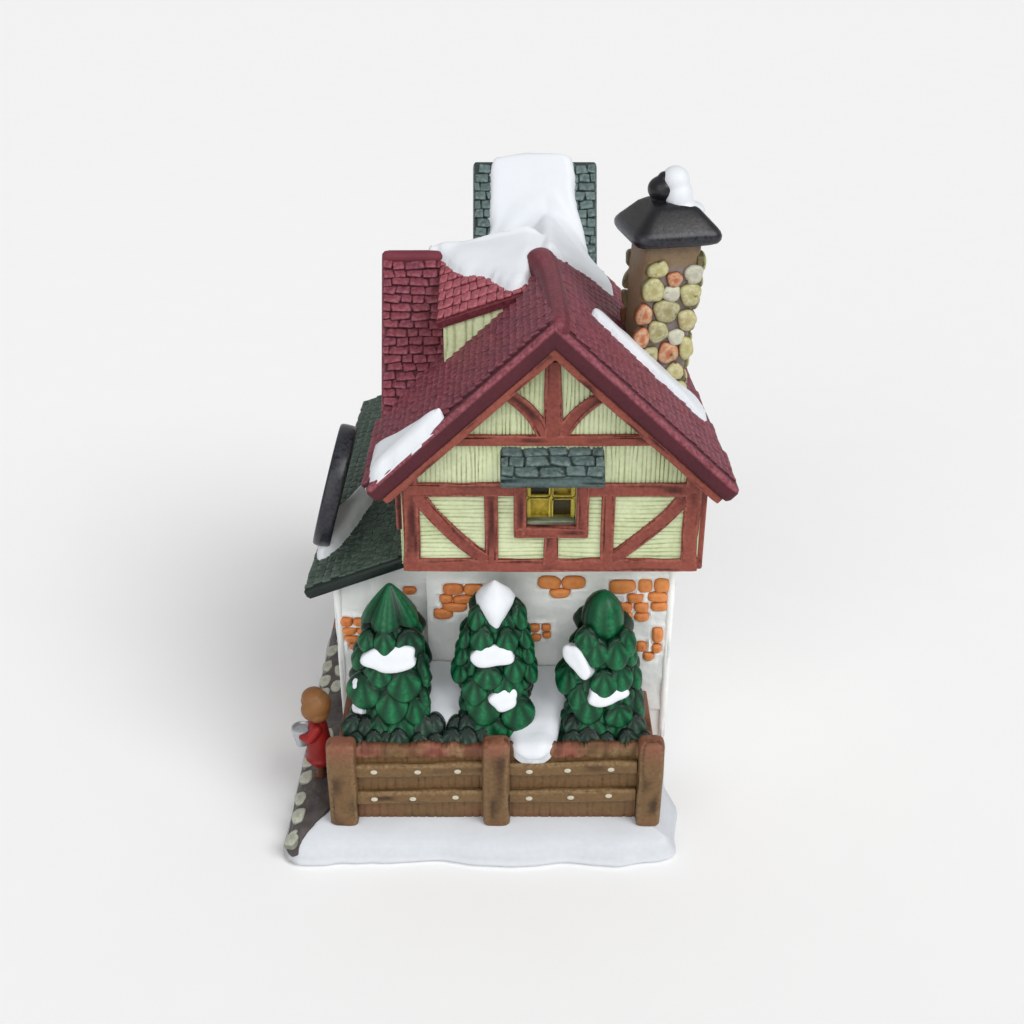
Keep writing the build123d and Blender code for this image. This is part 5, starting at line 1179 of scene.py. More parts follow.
# Wall, reach across and up, step, bricks in it and what is kept of it
STUCCO = [
    (near_wall(LOW_NEAR), LOW_LEFT, LOW_RIGHT + 0.5, IN_BED, LOW_TOP, FINE, NEAR_BRICKS, None),
    (near_wall(WING_NEAR), -54.3, LOW_LEFT + 0.5, IN_BED, 88.0, FINE, WING_BRICKS,
     lambda u, v: v < wing_top(u, WING_NEAR) - 2.8),
    (front_wall(WING_FRONT), -46.8, 68.4, FOOT, 91.0, COARSE, FRONT_BRICKS,
     lambda u, v: clear_of([WING_WINDOW, DOORWAY])(u, v) & (v < wing_top(WING_FRONT, u) - 3.0)),
    (back_wall(LOW_RIGHT), -50.3, 30.3, FOOT, LOW_TOP, COARSE, BACK_BRICKS, clear_of([], [(LAMP_Y, LAMP_Z, 14.4)])),
    (far_wall(WALL_FAR), 29.0, 54.9, FOOT, LOW_TOP, COARSE, [], None),
    (far_wall(TOWER_WALL_FAR), -7.0, 29.3, FOOT, HIGH_TOP, COARSE, TOWER_BRICKS, None),
    (back_wall(TOWER_WALL_RIGHT), WALL_FAR, 66.9, FOOT, GABLE_TOP, COARSE, [], tower_gable),
    (front_wall(TOWER_WALL_LEFT), WALL_FAR, 66.9, 100.0, GABLE_TOP, COARSE, [], tower_gable),
    (far_wall(WING_FAR), -54.3, -7.0, FOOT, 110.0, COARSE, FAR_BRICKS, lambda u, v: v < wing_top(u, WING_FAR) - 3.0),
]
stucco = Build()
for index, (panel, left, right, low, high, step, rows, keep) in enumerate(STUCCO):
    relief(stucco, panel, np.arange(left, right, step), np.arange(low, high, step),
           trowelled(rows, 21 + 10 * index), keep)
for x, y, high in (
    (LOW_RIGHT, LOW_NEAR, 90.8), (LOW_RIGHT, WALL_FAR, 90.8), (WING_FRONT, WING_NEAR, 78.5),
    (WING_FRONT, WING_FAR, 86.0), (TOWER_WALL_RIGHT, TOWER_WALL_FAR, HIGH_TOP),
    (TOWER_WALL_LEFT, TOWER_WALL_FAR, HIGH_TOP),
):
    bar(stucco, (x, y, FOOT), (x, y, high), (1 if x > 20 else -1, 0, 0), 2.6, 2.6, corner=2.2, grain=0.3, lines=4,
        wander=0.5, step=2.2, around=18)
piece("stucco_coat", stucco, "stucco")

# Chimney: a mortar stack with rounded field stones, a black cap, its knob and snow
CHIMNEY_X, CHIMNEY_Y, CHIMNEY_LEAN = 47.5, -17.0, 3.0
CHIMNEY_FOOT, CHIMNEY_TALL = 128.0, 56.5
CHIMNEY_TURN = math.radians(12.0)
chimney_right = vec(math.cos(CHIMNEY_TURN), math.sin(CHIMNEY_TURN), 0)
chimney_far = vec(-math.sin(CHIMNEY_TURN), math.cos(CHIMNEY_TURN), 0)


def chimney_center(level):
    """The leaning stack's middle at a level, and the share of its height there."""
    share = (level - CHIMNEY_FOOT) / CHIMNEY_TALL
    return vec(CHIMNEY_X + CHIMNEY_LEAN * min(share, 1.0), CHIMNEY_Y, level), share


def chimney_ring(level, width, count, corner=7.0, rough=0.0):
    """One level ring of the stack or its cap."""
    center, _ = chimney_center(level)
    theta = circle(count)
    across, above = boxed(np.cos(theta), 2 / corner), boxed(np.sin(theta), 2 / corner)
    ring = center + width / 2 * (across[:, None] * chimney_right + above[:, None] * chimney_far)
    if rough:
        push = 1 + rough * lumpy(ring, 2.6, 1)
        ring = center + (ring - center) * push[:, None]
    return ring


stack = Build()
STACK_SIDES, CAP_CORNERS = 40, 64
levels = np.linspace(126.0, 184.6, 36)
rings = [chimney_ring(z, np.interp(z, [128, 184.5], [16.3, 18.2]), STACK_SIDES, rough=0.04) for z in levels]
left_side = np.clip(-np.cos(circle(STACK_SIDES)) * 3 - 1, 0, 1)
# painted shadow under the cap: the top of the stack is darker
stack.loft(rings, [
    tinted(STACK_SIDES, 0.2 + 0.4 * (z > 182.6), 0.25, np.maximum(left_side, z > 177.0)) for z in levels
])
piece("chimney_mortar", stack, "stone_mortar", "chimney_stack")

# Stones on the near face: place across, level, width, height and tone
stones = Build()
NEAR_STONES = [
    (-4.9, 176.9, 7.1, 5.2, 0.1), (0.7, 173.4, 5.2, 5.2, 0.7), (6.7, 174.7, 6.2, 6.4, 0.84),
    (-5.7, 170.4, 7.2, 8.0, 0.2), (0.2, 169.0, 6.0, 5.6, 0.84), (6.4, 168.3, 7.0, 7.8, 0.3),
    (-0.7, 163.5, 8.8, 7.6, 0.5), (-7.8, 162.6, 5.6, 6.8, 0.7), (6.3, 160.0, 6.2, 7.4, 0.95),
    (-2.8, 156.8, 6.9, 7.6, 0.5), (3.4, 154.6, 5.6, 5.6, 0.84), (-7.8, 155.0, 5.4, 6.8, 0.64),
    (1.4, 149.4, 7.0, 7.2, 0.7), (7.2, 150.6, 4.8, 8.0, 0.2), (-4.6, 149.0, 6.2, 6.2, 0.5),
    (4.4, 142.8, 6.0, 6.2, 0.95), (-1.8, 143.0, 5.6, 5.6, 0.84), (6.6, 136.6, 5.2, 6.2, 0.1),
    (0.6, 136.8, 6.2, 6.4, 0.5), (4.0, 130.8, 6.2, 5.6, 0.3),
]


def field_stone(outward, u, v, wide, tall, tone):
    """One rounded stone on a face of the stack."""
    center, share = chimney_center(v)
    across = np.cross(vec(0, 0, 1), outward)
    spot = center + outward * (8.05 + 0.95 * share) + across * u
    if spot[2] > main_top(spot[0]) - 1.5:
        dome(stones, spot, across, (0, 0, 1), outward, wide, tall, 1.9, tone, square=2.3, sink=1.2, ripple=0.06,
             turn=draw.uniform(-24, 24))


for stone in NEAR_STONES:
    field_stone(-chimney_far, *stone)
for outward in (chimney_right, chimney_far):
    v = 131.0 + draw.uniform(0, 2)
    while v < 179.0:
        tall = draw.uniform(5.4, 7.2)
        u = -9.4 + draw.uniform(0, 2.8)
        while u < 7.0:
            wide = min(draw.uniform(5.2, 8.4), 9.6 - u)
            if wide > 2.6:
                field_stone(outward, u + wide / 2, v + draw.uniform(-0.5, 0.5), wide, tall, draw.random())
            u += wide
        v += tall
piece("field_stones", stones, "stone_mix", "chimney_stones")

cap = Build()
CAP = [
    (184.0, 18.4), (184.2, 24.0), (184.8, 26.4), (185.8, 27.6), (187.0, 27.8), (188.0, 27.0), (189.0, 25.4),
    (191.5, 20.6), (194.0, 15.8), (195.2, 13.0), (195.7, 10.0), (195.8, 5.0),
]
rings = [chimney_ring(z, w, CAP_CORNERS, corner=8.5 if w > 14 else 4.0) for z, w in CAP]
# painted highlight on the cap's widest rim
cap.loft(rings, [tinted(CAP_CORNERS, 0.1, 0.7 * (w > 26)) for z, w in CAP])
piece("chimney_hood", cap, "black_satin", "chimney_cap")
blob("chimney_finial", [
    ((48.4, CHIMNEY_Y, 195.6), (3.5, 3.5, 1.8)), ((48.4, CHIMNEY_Y, 198.8), (4.5, 4.5, 3.9)),
    ((49.4, CHIMNEY_Y, 202.2), (2.6, 2.6, 1.9)), ((51.0, CHIMNEY_Y, 203.2), (1.7, 1.7, 1.2)),
], "black_satin", "chimney_knob", voxel=0.35, rounds=5)
blob("chimney_snowcap", [
    ((53.2, -17.4, 196.5), (4.6, 5.6, 6.0)), ((52.2, CHIMNEY_Y, 201.4), (4.3, 4.9, 4.3)),
    ((57.0, -17.6, 192.6), (4.6, 6.0, 2.6)), ((55.4, -20.0, 193.2), (4.0, 4.0, 2.4)),
    ((55.0, -13.6, 193.2), (4.0, 4.0, 2.4)),
], "snow_glaze", "chimney_snow", voxel=0.5, rounds=10)

# Snow on the roofs
SADDLE = [
    (-25.5, 7.0), (-19.4, 4.6), (-15.0, -5.5), (-5.0, -11.3), (0.7, -19.3), (3.9, -23.0), (7.2, -21.3), (9.0, -14.0),
    (10.0, -7.0), (13.5, -5.0), (18.0, -4.5), (21.6, 0.5), (30.0, 8.5), (36.5, 10.0), (37.4, 15.0), (33.5, 21.8),
    (27.4, 28.7), (24.6, 36.8), (24.6, 46.0), (-3.9, 46.0), (-3.9, 29.9), (-8.9, 23.5), (-14.0, 15.0), (-21.7, 12.0),
]
EAVE = [
    (-39.0, -68.6), (-30.0, -68.7), (-19.0, -68.6), (-16.0, -67.6), (-19.0, -63.8), (-26.0, -58.4), (-31.0, -55.2),
    (-36.0, -51.2), (-38.6, -47.8), (-39.3, -50.0), (-39.4, -60.0),
]
STRIP = [
    (0.2, 0.1), (0.33, 0.0), (0.5, -0.06), (0.72, -0.16), (0.86, -0.2), (0.9, 0.2), (0.87, 0.6), (0.72, 0.6),
    (0.4, 0.42), (0.27, 0.4),
]
snow_layer("saddle_snow", SADDLE, roof_top, 2.4, ["ridge_snow"], fill=260, ragged=0.7)
snow_layer("eave_bank", EAVE, lambda x, y: main_top(x) + 0.3, 4.0, ["eave_snow"], step=0.5, edge=3.8, sink=1.4,
           fill=4, ragged=0.2)
snow_layer("slope_strip", [(MAIN_X + u * MAIN_HALF, -33.5 + v * 16.5) for u, v in STRIP],
           lambda x, y: main_top(x) + 0.4, 2.0, ["slope_snow"], edge=2.4, ragged=1.0)

# Clock on the wing roof: a broad ring, a grey back plate and its drift
LEAN = math.radians(15.0)
RING_STEPS, RING_SIDES = 96, 16
clock_out = vec(-math.cos(LEAN), 0, math.sin(LEAN))
clock_up = vec(math.sin(LEAN), 0, math.cos(LEAN))
clock_at = vec(-55.6, -24.0, 101.8)
rim = Build()
turns = circle(RING_SIDES)
ring_depth = 2.9 * boxed(np.sin(turns), 0.6)
ring_reach = 19.4 + 1.35 * boxed(np.cos(turns), 0.6)
grid = np.array([
    [clock_at + clock_out * n + r * (math.cos(t) * vec(0, 1, 0) + math.sin(t) * clock_up)
     for n, r in zip(ring_depth, ring_reach)]
    for t in circle(RING_STEPS)
])
faces = []
for i in range(RING_STEPS):
    here, after = i * RING_SIDES, (i + 1) % RING_STEPS * RING_SIDES
    for j in range(RING_SIDES):
        beside = (j + 1) % RING_SIDES
        faces.append((here + j, here + beside, after + beside, after + j))
# painted highlight on the outer face of the ring
wear_and_highlight = np.tile(0.8 * (ring_reach > 20.4), RING_STEPS)
rim.add(grid.reshape(-1, 3), tinted(len(wear_and_highlight), edge=wear_and_highlight), faces)
piece("clock_ring", rim, "black_satin", "clock_rim")
plate = Build()
# painted shade on the plate next to the ring, fading toward the middle
lathe(plate, clock_at, -clock_out, [(0.6, 18.3), (1.2, 18.3), (1.5, 17.4), (1.3, 9.0), (1.25, 0.3)], 60,
      wash_and_shade=[0.6, 0.5, 0.2, 0, 0])
piece("clock_back_plate", plate, "dial_ivory", look="plate_grey")
DRIFT = [
    (0.1, 0.34), (0.16, 0.12), (0.42, 0.2), (0.6, 0.36), (0.78, 0.6), (0.95, 0.85), (0.95, 1.02), (0.72, 1.05),
    (0.46, 0.88), (0.18, 0.66),
]
snow_layer("clock_drift", [(WING_EAVE[0] + u * 20.6, -44.6 + v * 41.2) for u, v in DRIFT], wing_top, 4.2,
           ["clock_snow"], edge=4.0, ragged=0.25)


# Base: a bank of snow with a wavy foot
BASE_X, BASE_WIDE, BASE_LONG, BASE_CORNER = -7.0, 129.0, 188.0, 7.0
# Outline of the bank: level and inset
BANK = [
    (0.0, 1.4), (0.5, 0.5), (1.3, 0.0), (2.1, 0.2), (2.8, 1.2), (3.6, 1.9), (4.8, 2.3), (5.9, 3.0), (7.0, 4.6),
    (7.9, 7.2), (8.6, 10.5), (9.0, 14.0),
]


def base_line(inset):
    """Points round the base, drawn in by an inset, each with its outward direction."""
    corner = max(BASE_CORNER - inset, 1.2)
    half = vec(BASE_WIDE / 2 - inset - corner, BASE_LONG / 2 - inset - corner)
    signs = ((1, -1), (1, 1), (-1, 1), (-1, -1))
    points, normals = [], []
    for index, sign in enumerate(signs):
        for angle in np.radians(90 * index - 90 + np.linspace(0, 90, 13)):
            normals.append(vec(math.cos(angle), math.sin(angle)))
            points.append(sign * half + corner * normals[-1])
        start = points[-1]
        stop = signs[(index + 1) % 4] * half + corner * normals[-1]
        for share in np.arange(1, 76) / 76:
            points.append(start + share * (stop - start))
            normals.append(normals[-1])
    return np.array(points), np.array(normals)


def base_inset(x, y):
    """Distance from a place in the base to its edge."""
    past_x = abs(x - BASE_X) - (BASE_WIDE / 2 - BASE_CORNER)
    past_y = abs(y) - (BASE_LONG / 2 - BASE_CORNER)
    past = np.hypot(np.maximum(past_x, 0), np.maximum(past_y, 0)) + np.minimum(np.maximum(past_x, past_y), 0)
    return BASE_CORNER - past


def ground(x, y):
    """Level of the snow at a place on the base."""
    return np.interp(base_inset(x, y), [cut for z, cut in BANK[3:]], [z for z, cut in BANK[3:]])


base = Build()
line, outward = base_line(0.0)
count = len(line)
middle = vec(BASE_X, 0)
spots = flat(line[:, 0], line[:, 1])
sway = 2.2 * lumpy(spots, 14.0, 5) + 0.4 * lumpy(spots, 5.0, 6) - 0.2
sway = sway * np.interp(line[:, 0], [-64, -56], [0.3, 1.0])
rings, values = [], []
for z, inset in BANK:
    push = sway * np.interp(z, [0, 2.2, 4, 9], [1.0, 1.0, 0.7, 0.4])
    ring = base_line(inset)[0] + outward * push[:, None] + middle
    level = z + 0.5 * lumpy(spots, 11.0, 7) * (2.0 < z < 8.0)
    rings.append(np.concatenate([ring, np.broadcast_to(level, count)[:, None]], 1))
    # painted shade on the bank's sloping faces, lighter toward the top
    deep = np.interp(z, [1.3, 2.8, 5.9, 8.6], [0.6, 1.0, 0.9, 0.2])
    values.append(tinted(count, deep, tone=np.clip((-58.0 - line[:, 0]) / 3.0, 0, 1) * (z < 8.2)))
last = rings[-1]
for share in (0.9, 0.75, 0.5, 0.25, 0.03):
    ring = last.copy()
    ring[:, :2] = middle + (last[:, :2] - middle) * share
    ring[:, 2] = 9.05 + 0.25 * lumpy(flat(ring[:, 0], ring[:, 1]), 12.0, 8)
    rings.append(ring)
    values.append(tinted(count))
base.loft(rings, values)
piece("snow_ground", base, "snow_glaze", "snow_base", sharp=60.0)

# Front walk down the left side of the base, with slabs along its outer edge
walk = Build()
share, grid_y = np.meshgrid(np.linspace(0, 1, 26), np.arange(-92.6, 84.0, 0.8))
edge_left = -70.4 + BASE_CORNER - np.sqrt(BASE_CORNER ** 2 - np.clip(abs(grid_y) - 87.0, 0, 6.5) ** 2)
wavy = lumpy(flat(grid_y * 0, grid_y), 6.0, 19)
edge_right = np.interp(grid_y, [-93, -84, -78, -66], [-65.6, -61.0, -57.6, -54.1]) + 0.7 * wavy
grid_x = edge_left + share * (edge_right - edge_left)
spots = flat(grid_x, grid_y)
rise = 0.9 + 0.35 * lumpy(spots, 4.0, 17) + 0.25 * lumpy(spots, 1.8, 18) - 1.0 * (share > 0.97)
# painted shade in the low spots of the walk, painted highlight on its high spots
paint = np.stack([np.clip(0.85 - rise, 0, 1), np.clip(rise - 0.95, 0, 1) * 1.5, np.zeros_like(rise)], -1)
level = ground(grid_x, grid_y)
kept = ~((abs(grid_y - DOORWAY[0]) < 12.4) & (grid_x > -67.4))
walk.shell(np.stack([grid_x, grid_y, level + rise], -1), np.stack([grid_x, grid_y, level - 1.4], -1), paint,
           kept[:-1, :-1])
piece("walk_slab", walk, "walk_grey", "garden_walk")
cobbles = Build()
place = -89.0
while place < 82.0:
    for row in range(2):
        x = -67.6 + row * 5.0 + draw.uniform(-0.5, 0.5)
        y = place + row * 3.1 + draw.uniform(-0.6, 0.6)
        clear = abs(y - DOORWAY[0]) > 15 and (row == 0 or y > -48.0)
        if clear and draw.random() < (1.0 if row == 0 else 0.4):
            tilt = unit((-0.28 if row == 0 else 0.0, 0, 1))
            dome(cobbles, (x, y, float(ground(x, y)) + 0.8), np.cross((0, 1, 0), tilt), (0, 1, 0), tilt,
                 draw.uniform(4.2, 5.0), draw.uniform(6.0, 7.6), 0.85, draw.random(), square=2.8, sink=1.2,
                 ripple=0.05, turn=draw.uniform(-20, 20))
    place += 9.6
piece("walk_cobbles", cobbles, "paver_beige", "walk_stones")

# Fence: posts, boards carved in one panel, rails and their nail heads
POSTS_X, POSTS_Y = (-51.2, -2.0, 47.2), -81.5
posts = Build()
for x, wide in zip(POSTS_X, (9.4, 8.8, 8.2)):
    bar(posts, (x, POSTS_Y, 7.6), (x, POSTS_Y, 41.0 + draw.uniform(-0.3, 0.4)), (0, -1, 0), wide, 7.0, corner=4,
        grain=0.3, lines=9, wander=0.3, ends=1.5,
        tone=[(0, 0.3), (0.2, 0.05), (0.75, 0.1), (0.92, 0.6), (1, 0.8)])
piece("fence_uprights", posts, "fence_paint", "fence_posts")


def board_rise(us, vs):
    """Uneven upright grooves, with knobbly bark above the upper rail."""
    spots = flat(us, vs)
    wave = us / 2.5 + 0.3 * lumpy(spots / (3.0, 14.0, 1.0), 1.0, 33)
    trough = np.clip((abs((wave % 1.0) - 0.5) * 2 - 0.7) / 0.3, 0, 1) * (0.6 + 0.4 * lumpy(spots, 3.0, 37))
    bark = np.clip((vs - 33.0) / 1.5, 0, 1)
    knob = lumpy(spots / (1.0, 1.5, 1.0), 2.2, 34)
    wear_and_highlight = np.clip((vs - 36.4) / 1.6, 0, 1) ** 2 * 1.6
    rise = 0.3 - 0.4 * trough * (1 - 0.3 * bark) + bark * (0.5 + 0.5 * knob) - wear_and_highlight
    patch = lumpy(spots, 7.0, 35)
    foot = np.clip((15.0 - vs) / 7.0, 0, 1)
    tone = np.clip(bark * (0.55 + 0.7 * patch) + foot * (0.25 + 0.6 * patch) + 0.08, 0, 1)
    # painted shade in the grooves and between the knobs, darker toward the bottom; painted highlight on the knobs
    deep = np.clip(0.7 * trough * (1 - 0.3 * bark) + 0.3 * bark * (knob < -0.2) + 0.5 * (vs < 10.4), 0, 1)
    return rise, deep, np.clip(0.3 + bark * knob, 0, 1), tone


boards = Build()
board_rows = np.concatenate([np.arange(8.4, 33.0, 1.2), np.arange(33.0, 39.2, 0.4)])
for left in POSTS_X[:2]:
    relief(boards, near_wall(-80.5), np.arange(left + 4.0, left + 45.4, 0.42), board_rows, board_rise,
           lambda u, v: v < 37.9 + 0.7 * lumpy(flat(u, u * 0), 2.6, 36), back=-2.4)
for x, y in ((POSTS_X[0], -46.6), (POSTS_X[2], -50.1)):
    bar(boards, (x, -78.0, 23.4), (x, y, 23.4), (1 if x > 0 else -1, 0, 0), 28.6, 3.0, corner=9, grain=0.2, lines=16,
        wander=0.1, tone=0.75, around=44)
piece("fence_planks", boards, "fence_paint", "fence_boards", sharp=60.0)
BAY, RAIL_Y, NAIL_Y = 40.6, -81.7, -82.9
rails, nails = Build(), Build()
for left in POSTS_X[:2]:
    for level in (19.2, 30.2):
        tilt = draw.uniform(0.7, 1.1)
        level -= 0.6 * (left < -40)
        # lit paints a highlight along each rail's upper edge
        bar(rails, (left + 4.2, RAIL_Y, level - tilt / 2), (left + 45.0, RAIL_Y, level + tilt / 2), (0, -1, 0),
            5.0, 2.6, corner=3.4, grain=0.2, lines=6, wander=0.35, tone=0.05, lit=0.8)
        for share in (0.13, 0.47, 0.80):
            x = left + 4.3 + BAY * (share + draw.uniform(-0.03, 0.03))
            z = level + tilt * (share - 0.5) + draw.uniform(-0.3, 0.3)
            dome(nails, (x, NAIL_Y, z), (1, 0, 0), (0, 0, 1), (0, -1, 0), 2.3, 1.7, 0.45, square=2.0, sink=0.6,
                 count=16)
piece("fence_bars", rails, "fence_paint", "fence_rails")
piece("fence_nails", nails, "fence_paint", look="nail_pale")


# Trees: fluted scales in rows on a leafy body. Each has its place, its tiers of small scales and
# its large ones, with share across, level, width, height and tone
TREE_Y = -64.0
FIRS = {
    "left": (-35.0, 7, [
        (-0.77, 70.7, 6.8, 7.9, 0), (-0.16, 71.8, 7.1, 9.5, 0), (0.65, 70.4, 10.1, 10.4, 1),
        (-0.95, 62.4, 6.9, 8.4, 0), (-0.32, 60.5, 8.2, 9.2, 0), (0.37, 57.0, 11.3, 13.0, 0),
        (-0.82, 52.0, 13.5, 12.7, 0), (0.88, 59.3, 4.8, 12.6, 1), (0.85, 49.6, 4.2, 14.5, 1),
        (0.0, 49.3, 10.7, 13.5, 0), (0.62, 45.8, 8.0, 10.6, 0), (0.24, 39.5, 10.1, 12.4, 0),
        (-0.4, 39.0, 8.4, 11.5, 0), (-0.97, 38.6, 9.9, 13.9, 1), (0.73, 38.2, 6.3, 9.5, 0)]),
    "middle": (-2.3, 8, [
        (-0.77, 78.4, 6.1, 8.7, 0), (0.97, 77.3, 6.1, 9.5, 0), (-0.44, 72.1, 7.7, 10.3, 0),
        (0.43, 71.5, 7.1, 10.3, 0), (-0.95, 70.1, 5.1, 7.9, 0), (0.96, 69.9, 5.1, 7.9, 0),
        (-0.97, 63.7, 6.2, 8.4, 0), (0.97, 64.1, 5.8, 8.0, 0), (-0.97, 57.2, 8.0, 8.9, 0),
        (0.97, 57.2, 6.2, 8.9, 0), (-0.2, 60.0, 9.5, 9.2, 0), (0.58, 61.6, 7.5, 10.0, 0),
        (-0.57, 53.8, 8.9, 10.9, 0), (0.38, 55.4, 9.9, 12.2, 0), (-0.31, 48.6, 11.4, 13.9, 0),
        (0.64, 44.8, 12.1, 12.8, 0), (-0.17, 39.8, 12.2, 12.4, 0), (-0.87, 39.1, 7.7, 9.5, 0),
        (0.41, 38.7, 6.3, 7.7, 0)]),
    "right": (31.65, 6, [
        (-0.6, 71.9, 7.8, 8.7, 0), (0.79, 70.0, 6.8, 10.4, 0), (-0.27, 68.2, 9.1, 10.3, 0),
        (0.42, 67.3, 8.5, 11.2, 0), (0.83, 65.1, 5.8, 7.9, 0), (-0.95, 55.0, 9.4, 11.5, 0),
        (0.04, 57.6, 9.2, 10.0, 0), (0.51, 58.6, 8.5, 10.5, 0), (0.92, 56.3, 5.9, 9.7, 0),
        (-0.38, 47.9, 10.0, 11.8, 0), (0.48, 44.5, 10.0, 8.5, 0), (-0.66, 50.8, 6.9, 10.1, 0),
        (0.97, 44.6, 8.1, 13.8, 1), (-0.92, 38.0, 8.8, 10.0, 0), (-0.24, 39.5, 9.7, 12.4, 0),
        (0.52, 38.7, 10.1, 10.3, 0)]),
}


def girth(level):
    """Half width of a tree's leafy body at a level."""
    return float(np.interp(level, [36, 58, 74, 88], [12.2, 11.6, 9.2, 4.2]))


def leaf(build, center_x, share, toward, level, wide, tall, tone, deep=1.4):
    """One scale on a tree, at a share of its half width on the near or far side."""
    radius = girth(level) - deep
    away = math.sqrt(1 - share * share)
    place = (center_x + share * radius, TREE_Y + toward * 0.84 * radius * away, level)
    dome(build, place, *facing(0.7 * share, toward * (away + 0.4), 0.3), wide, tall, 2.3, tone, square=2.1, narrow=0.25,
         flutes=9.0, flute=0.34, hub=0.38, lean=2.0, sink=2.4)


HOOD_SIDES = 84


def hood(build, center_x, apex, hem, radius, profile, lobes, turn):
    """Broad leaves that close the top of a tree, creased between their lobes."""
    theta = circle(HOOD_SIDES)
    lobe = abs(np.cos(lobes / 2 * (theta - turn)))
    fine = 0.5 + 0.5 * np.cos(theta * lobes * 5)
    rings, values = [], []
    for share, wide in profile:
        reach = radius * wide * (0.84 + 0.16 * lobe) + 0.16 * fine * wide
        level = apex - (apex - hem) * share * (0.86 + 0.14 * lobe)
        rings.append(np.stack([center_x + reach * np.cos(theta), TREE_Y + 0.92 * reach * np.sin(theta), level], 1))
        # painted shade in the creases and under the hood, painted highlight on the lobes
        creased = (1 - lobe) ** 2 * 1.1 + 0.4 * (1 - fine) * (share > 0.3)
        deep = np.clip(creased + 0.5 * (share > 0.97), 0, 1)
        values.append(tinted(HOOD_SIDES, deep, lobe ** 3 * fine * (0.15 < share < 0.97)))
    for inner, lift in ((0.8, 1.0), (0.4, 2.4)):
        ring = rings[len(profile) - 1].copy()
        middle = vec(center_x, TREE_Y)
        ring[:, :2] = middle + (ring[:, :2] - middle) * inner
        ring[:, 2] += lift
        rings.append(ring)
        values.append(tinted(HOOD_SIDES, 1.0))
    build.loft(rings, values)


TENT = [(0.0, 0.03), (0.05, 0.13), (0.2, 0.31), (0.45, 0.58), (0.7, 0.82), (0.9, 0.97), (1.0, 1.0)]
EGG = [(0.0, 0.04), (0.04, 0.28), (0.14, 0.54), (0.33, 0.81), (0.58, 0.97), (0.8, 1.0), (0.94, 0.95), (1.0, 0.86)]
HOODS = {"left": (88.4, 75.4, 9.4, TENT, 5, -1.75), "right": (85.6, 71.4, 7.4, EGG, 2, -1.3)}
TRUNK = [(BED - 0.5, 9.4), (44.0, 9.4), (60.0, 8.0), (74.0, 5.8), (80.0, 4.0), (84.0, 1.0)]
TIER_SCALES = 10
for name, (center_x, tiers, rows) in FIRS.items():
    made = Build()
    # a dark body inside the tree, painted shade seen between the scales
    lathe(made, (center_x, TREE_Y, 0), (0, 0, 1), TRUNK, 24, wash_and_shade=[1] * len(TRUNK))
    for tier in range(tiers):
        level = 39.0 + 5.4 * tier
        for index in range(TIER_SCALES):
            angle = 2 * math.pi * (index + 0.5 * (tier % 2) + draw.uniform(-0.1, 0.1)) / TIER_SCALES
            share, toward = math.cos(angle), math.copysign(1.0, math.sin(angle))
            leaf(made, center_x, 0.98 * share, toward, level + draw.uniform(-0.8, 0.8), 8.0, 9.0,
                 draw.uniform(0.4, 1.0), deep=4.0)
    for share, level, wide, tall, tone in rows:
        for toward in (-1.0, 1.0):
            leaf(made, center_x, share, toward, level, wide, tall, tone * 0.8)
    if name in HOODS:
        hood(made, center_x, *HOODS[name])
    piece("fir_" + name, made, "fir_green", "fir_tree_" + name, sharp=60.0)

# Snow that lies on the trees: a pointed cap on the middle one and patches on the scales.
# The cap's rings are level, half width, middle and half depth
CAP_RINGS = [
    (89.6, 0.3, -64.4, 0.3), (88.0, 2.2, -64.4, 2.2), (86.0, 4.6, -64.6, 4.6), (84.0, 6.1, -65.0, 5.6),
    (82.0, 5.7, -65.6, 5.6), (79.5, 4.4, -66.4, 4.8), (76.5, 2.6, -67.4, 3.6), (74.4, 1.3, -68.2, 2.4),
    (73.4, 0.3, -68.6, 0.8),
]
CAP_SIDES = 36
caps = Build()
rings = []
theta = circle(CAP_SIDES)
for level, half, middle, thick in CAP_RINGS:
    dent = 1 - 0.06 * np.cos(3 * theta + level / 4)
    rings.append(np.stack([FIRS["middle"][0] + half * np.cos(theta) * dent, middle + thick * np.sin(theta) * dent,
                           np.full(CAP_SIDES, level)], 1))
caps.loft(rings, [tinted(CAP_SIDES)] * len(rings))
# Tree, place, width, height and turn of each patch
PATCHES = [
    ("left", -34.8, -73.9, 66.8, 17.0, 8.6, 3), ("middle", -3.2, -73.8, 67.8, 13.6, 7.2, 4),
    ("middle", 0.6, -75.2, 52.4, 9.0, 7.6, 24), ("right", 23.4, -73.0, 65.4, 12.4, 6.0, -42),
    ("right", 33.2, -74.9, 53.8, 13.0, 6.8, 12), ("left", -46.2, -69.6, 45.2, 5.2, 4.8, 0),
    ("left", -46.4, -68.8, 54.0, 2.6, 4.2, 0),
]
for tree, x, y, z, wide, tall, turn in PATCHES:
    dome(caps, (x, y, z), *facing((x - FIRS[tree][0]) * 0.5, y - TREE_Y, 3.4), wide, tall, 1.3, square=2.3, sink=3.4,
         ripple=0.08, turn=turn, count=40)
piece("tree_snowcaps", caps, "snow_glaze", "tree_snow", sharp=60.0)


# Planting bed: earth, a low hedge of small scales and two tongues of snow
def earth(us, vs):
    """Lumpy dark earth."""
    rise = 0.9 + 0.8 * lumpy(flat(us, vs), 3.0, 71)
    return rise, np.full(us.shape, 0.6), np.full(us.shape, 0.2), np.zeros_like(us)


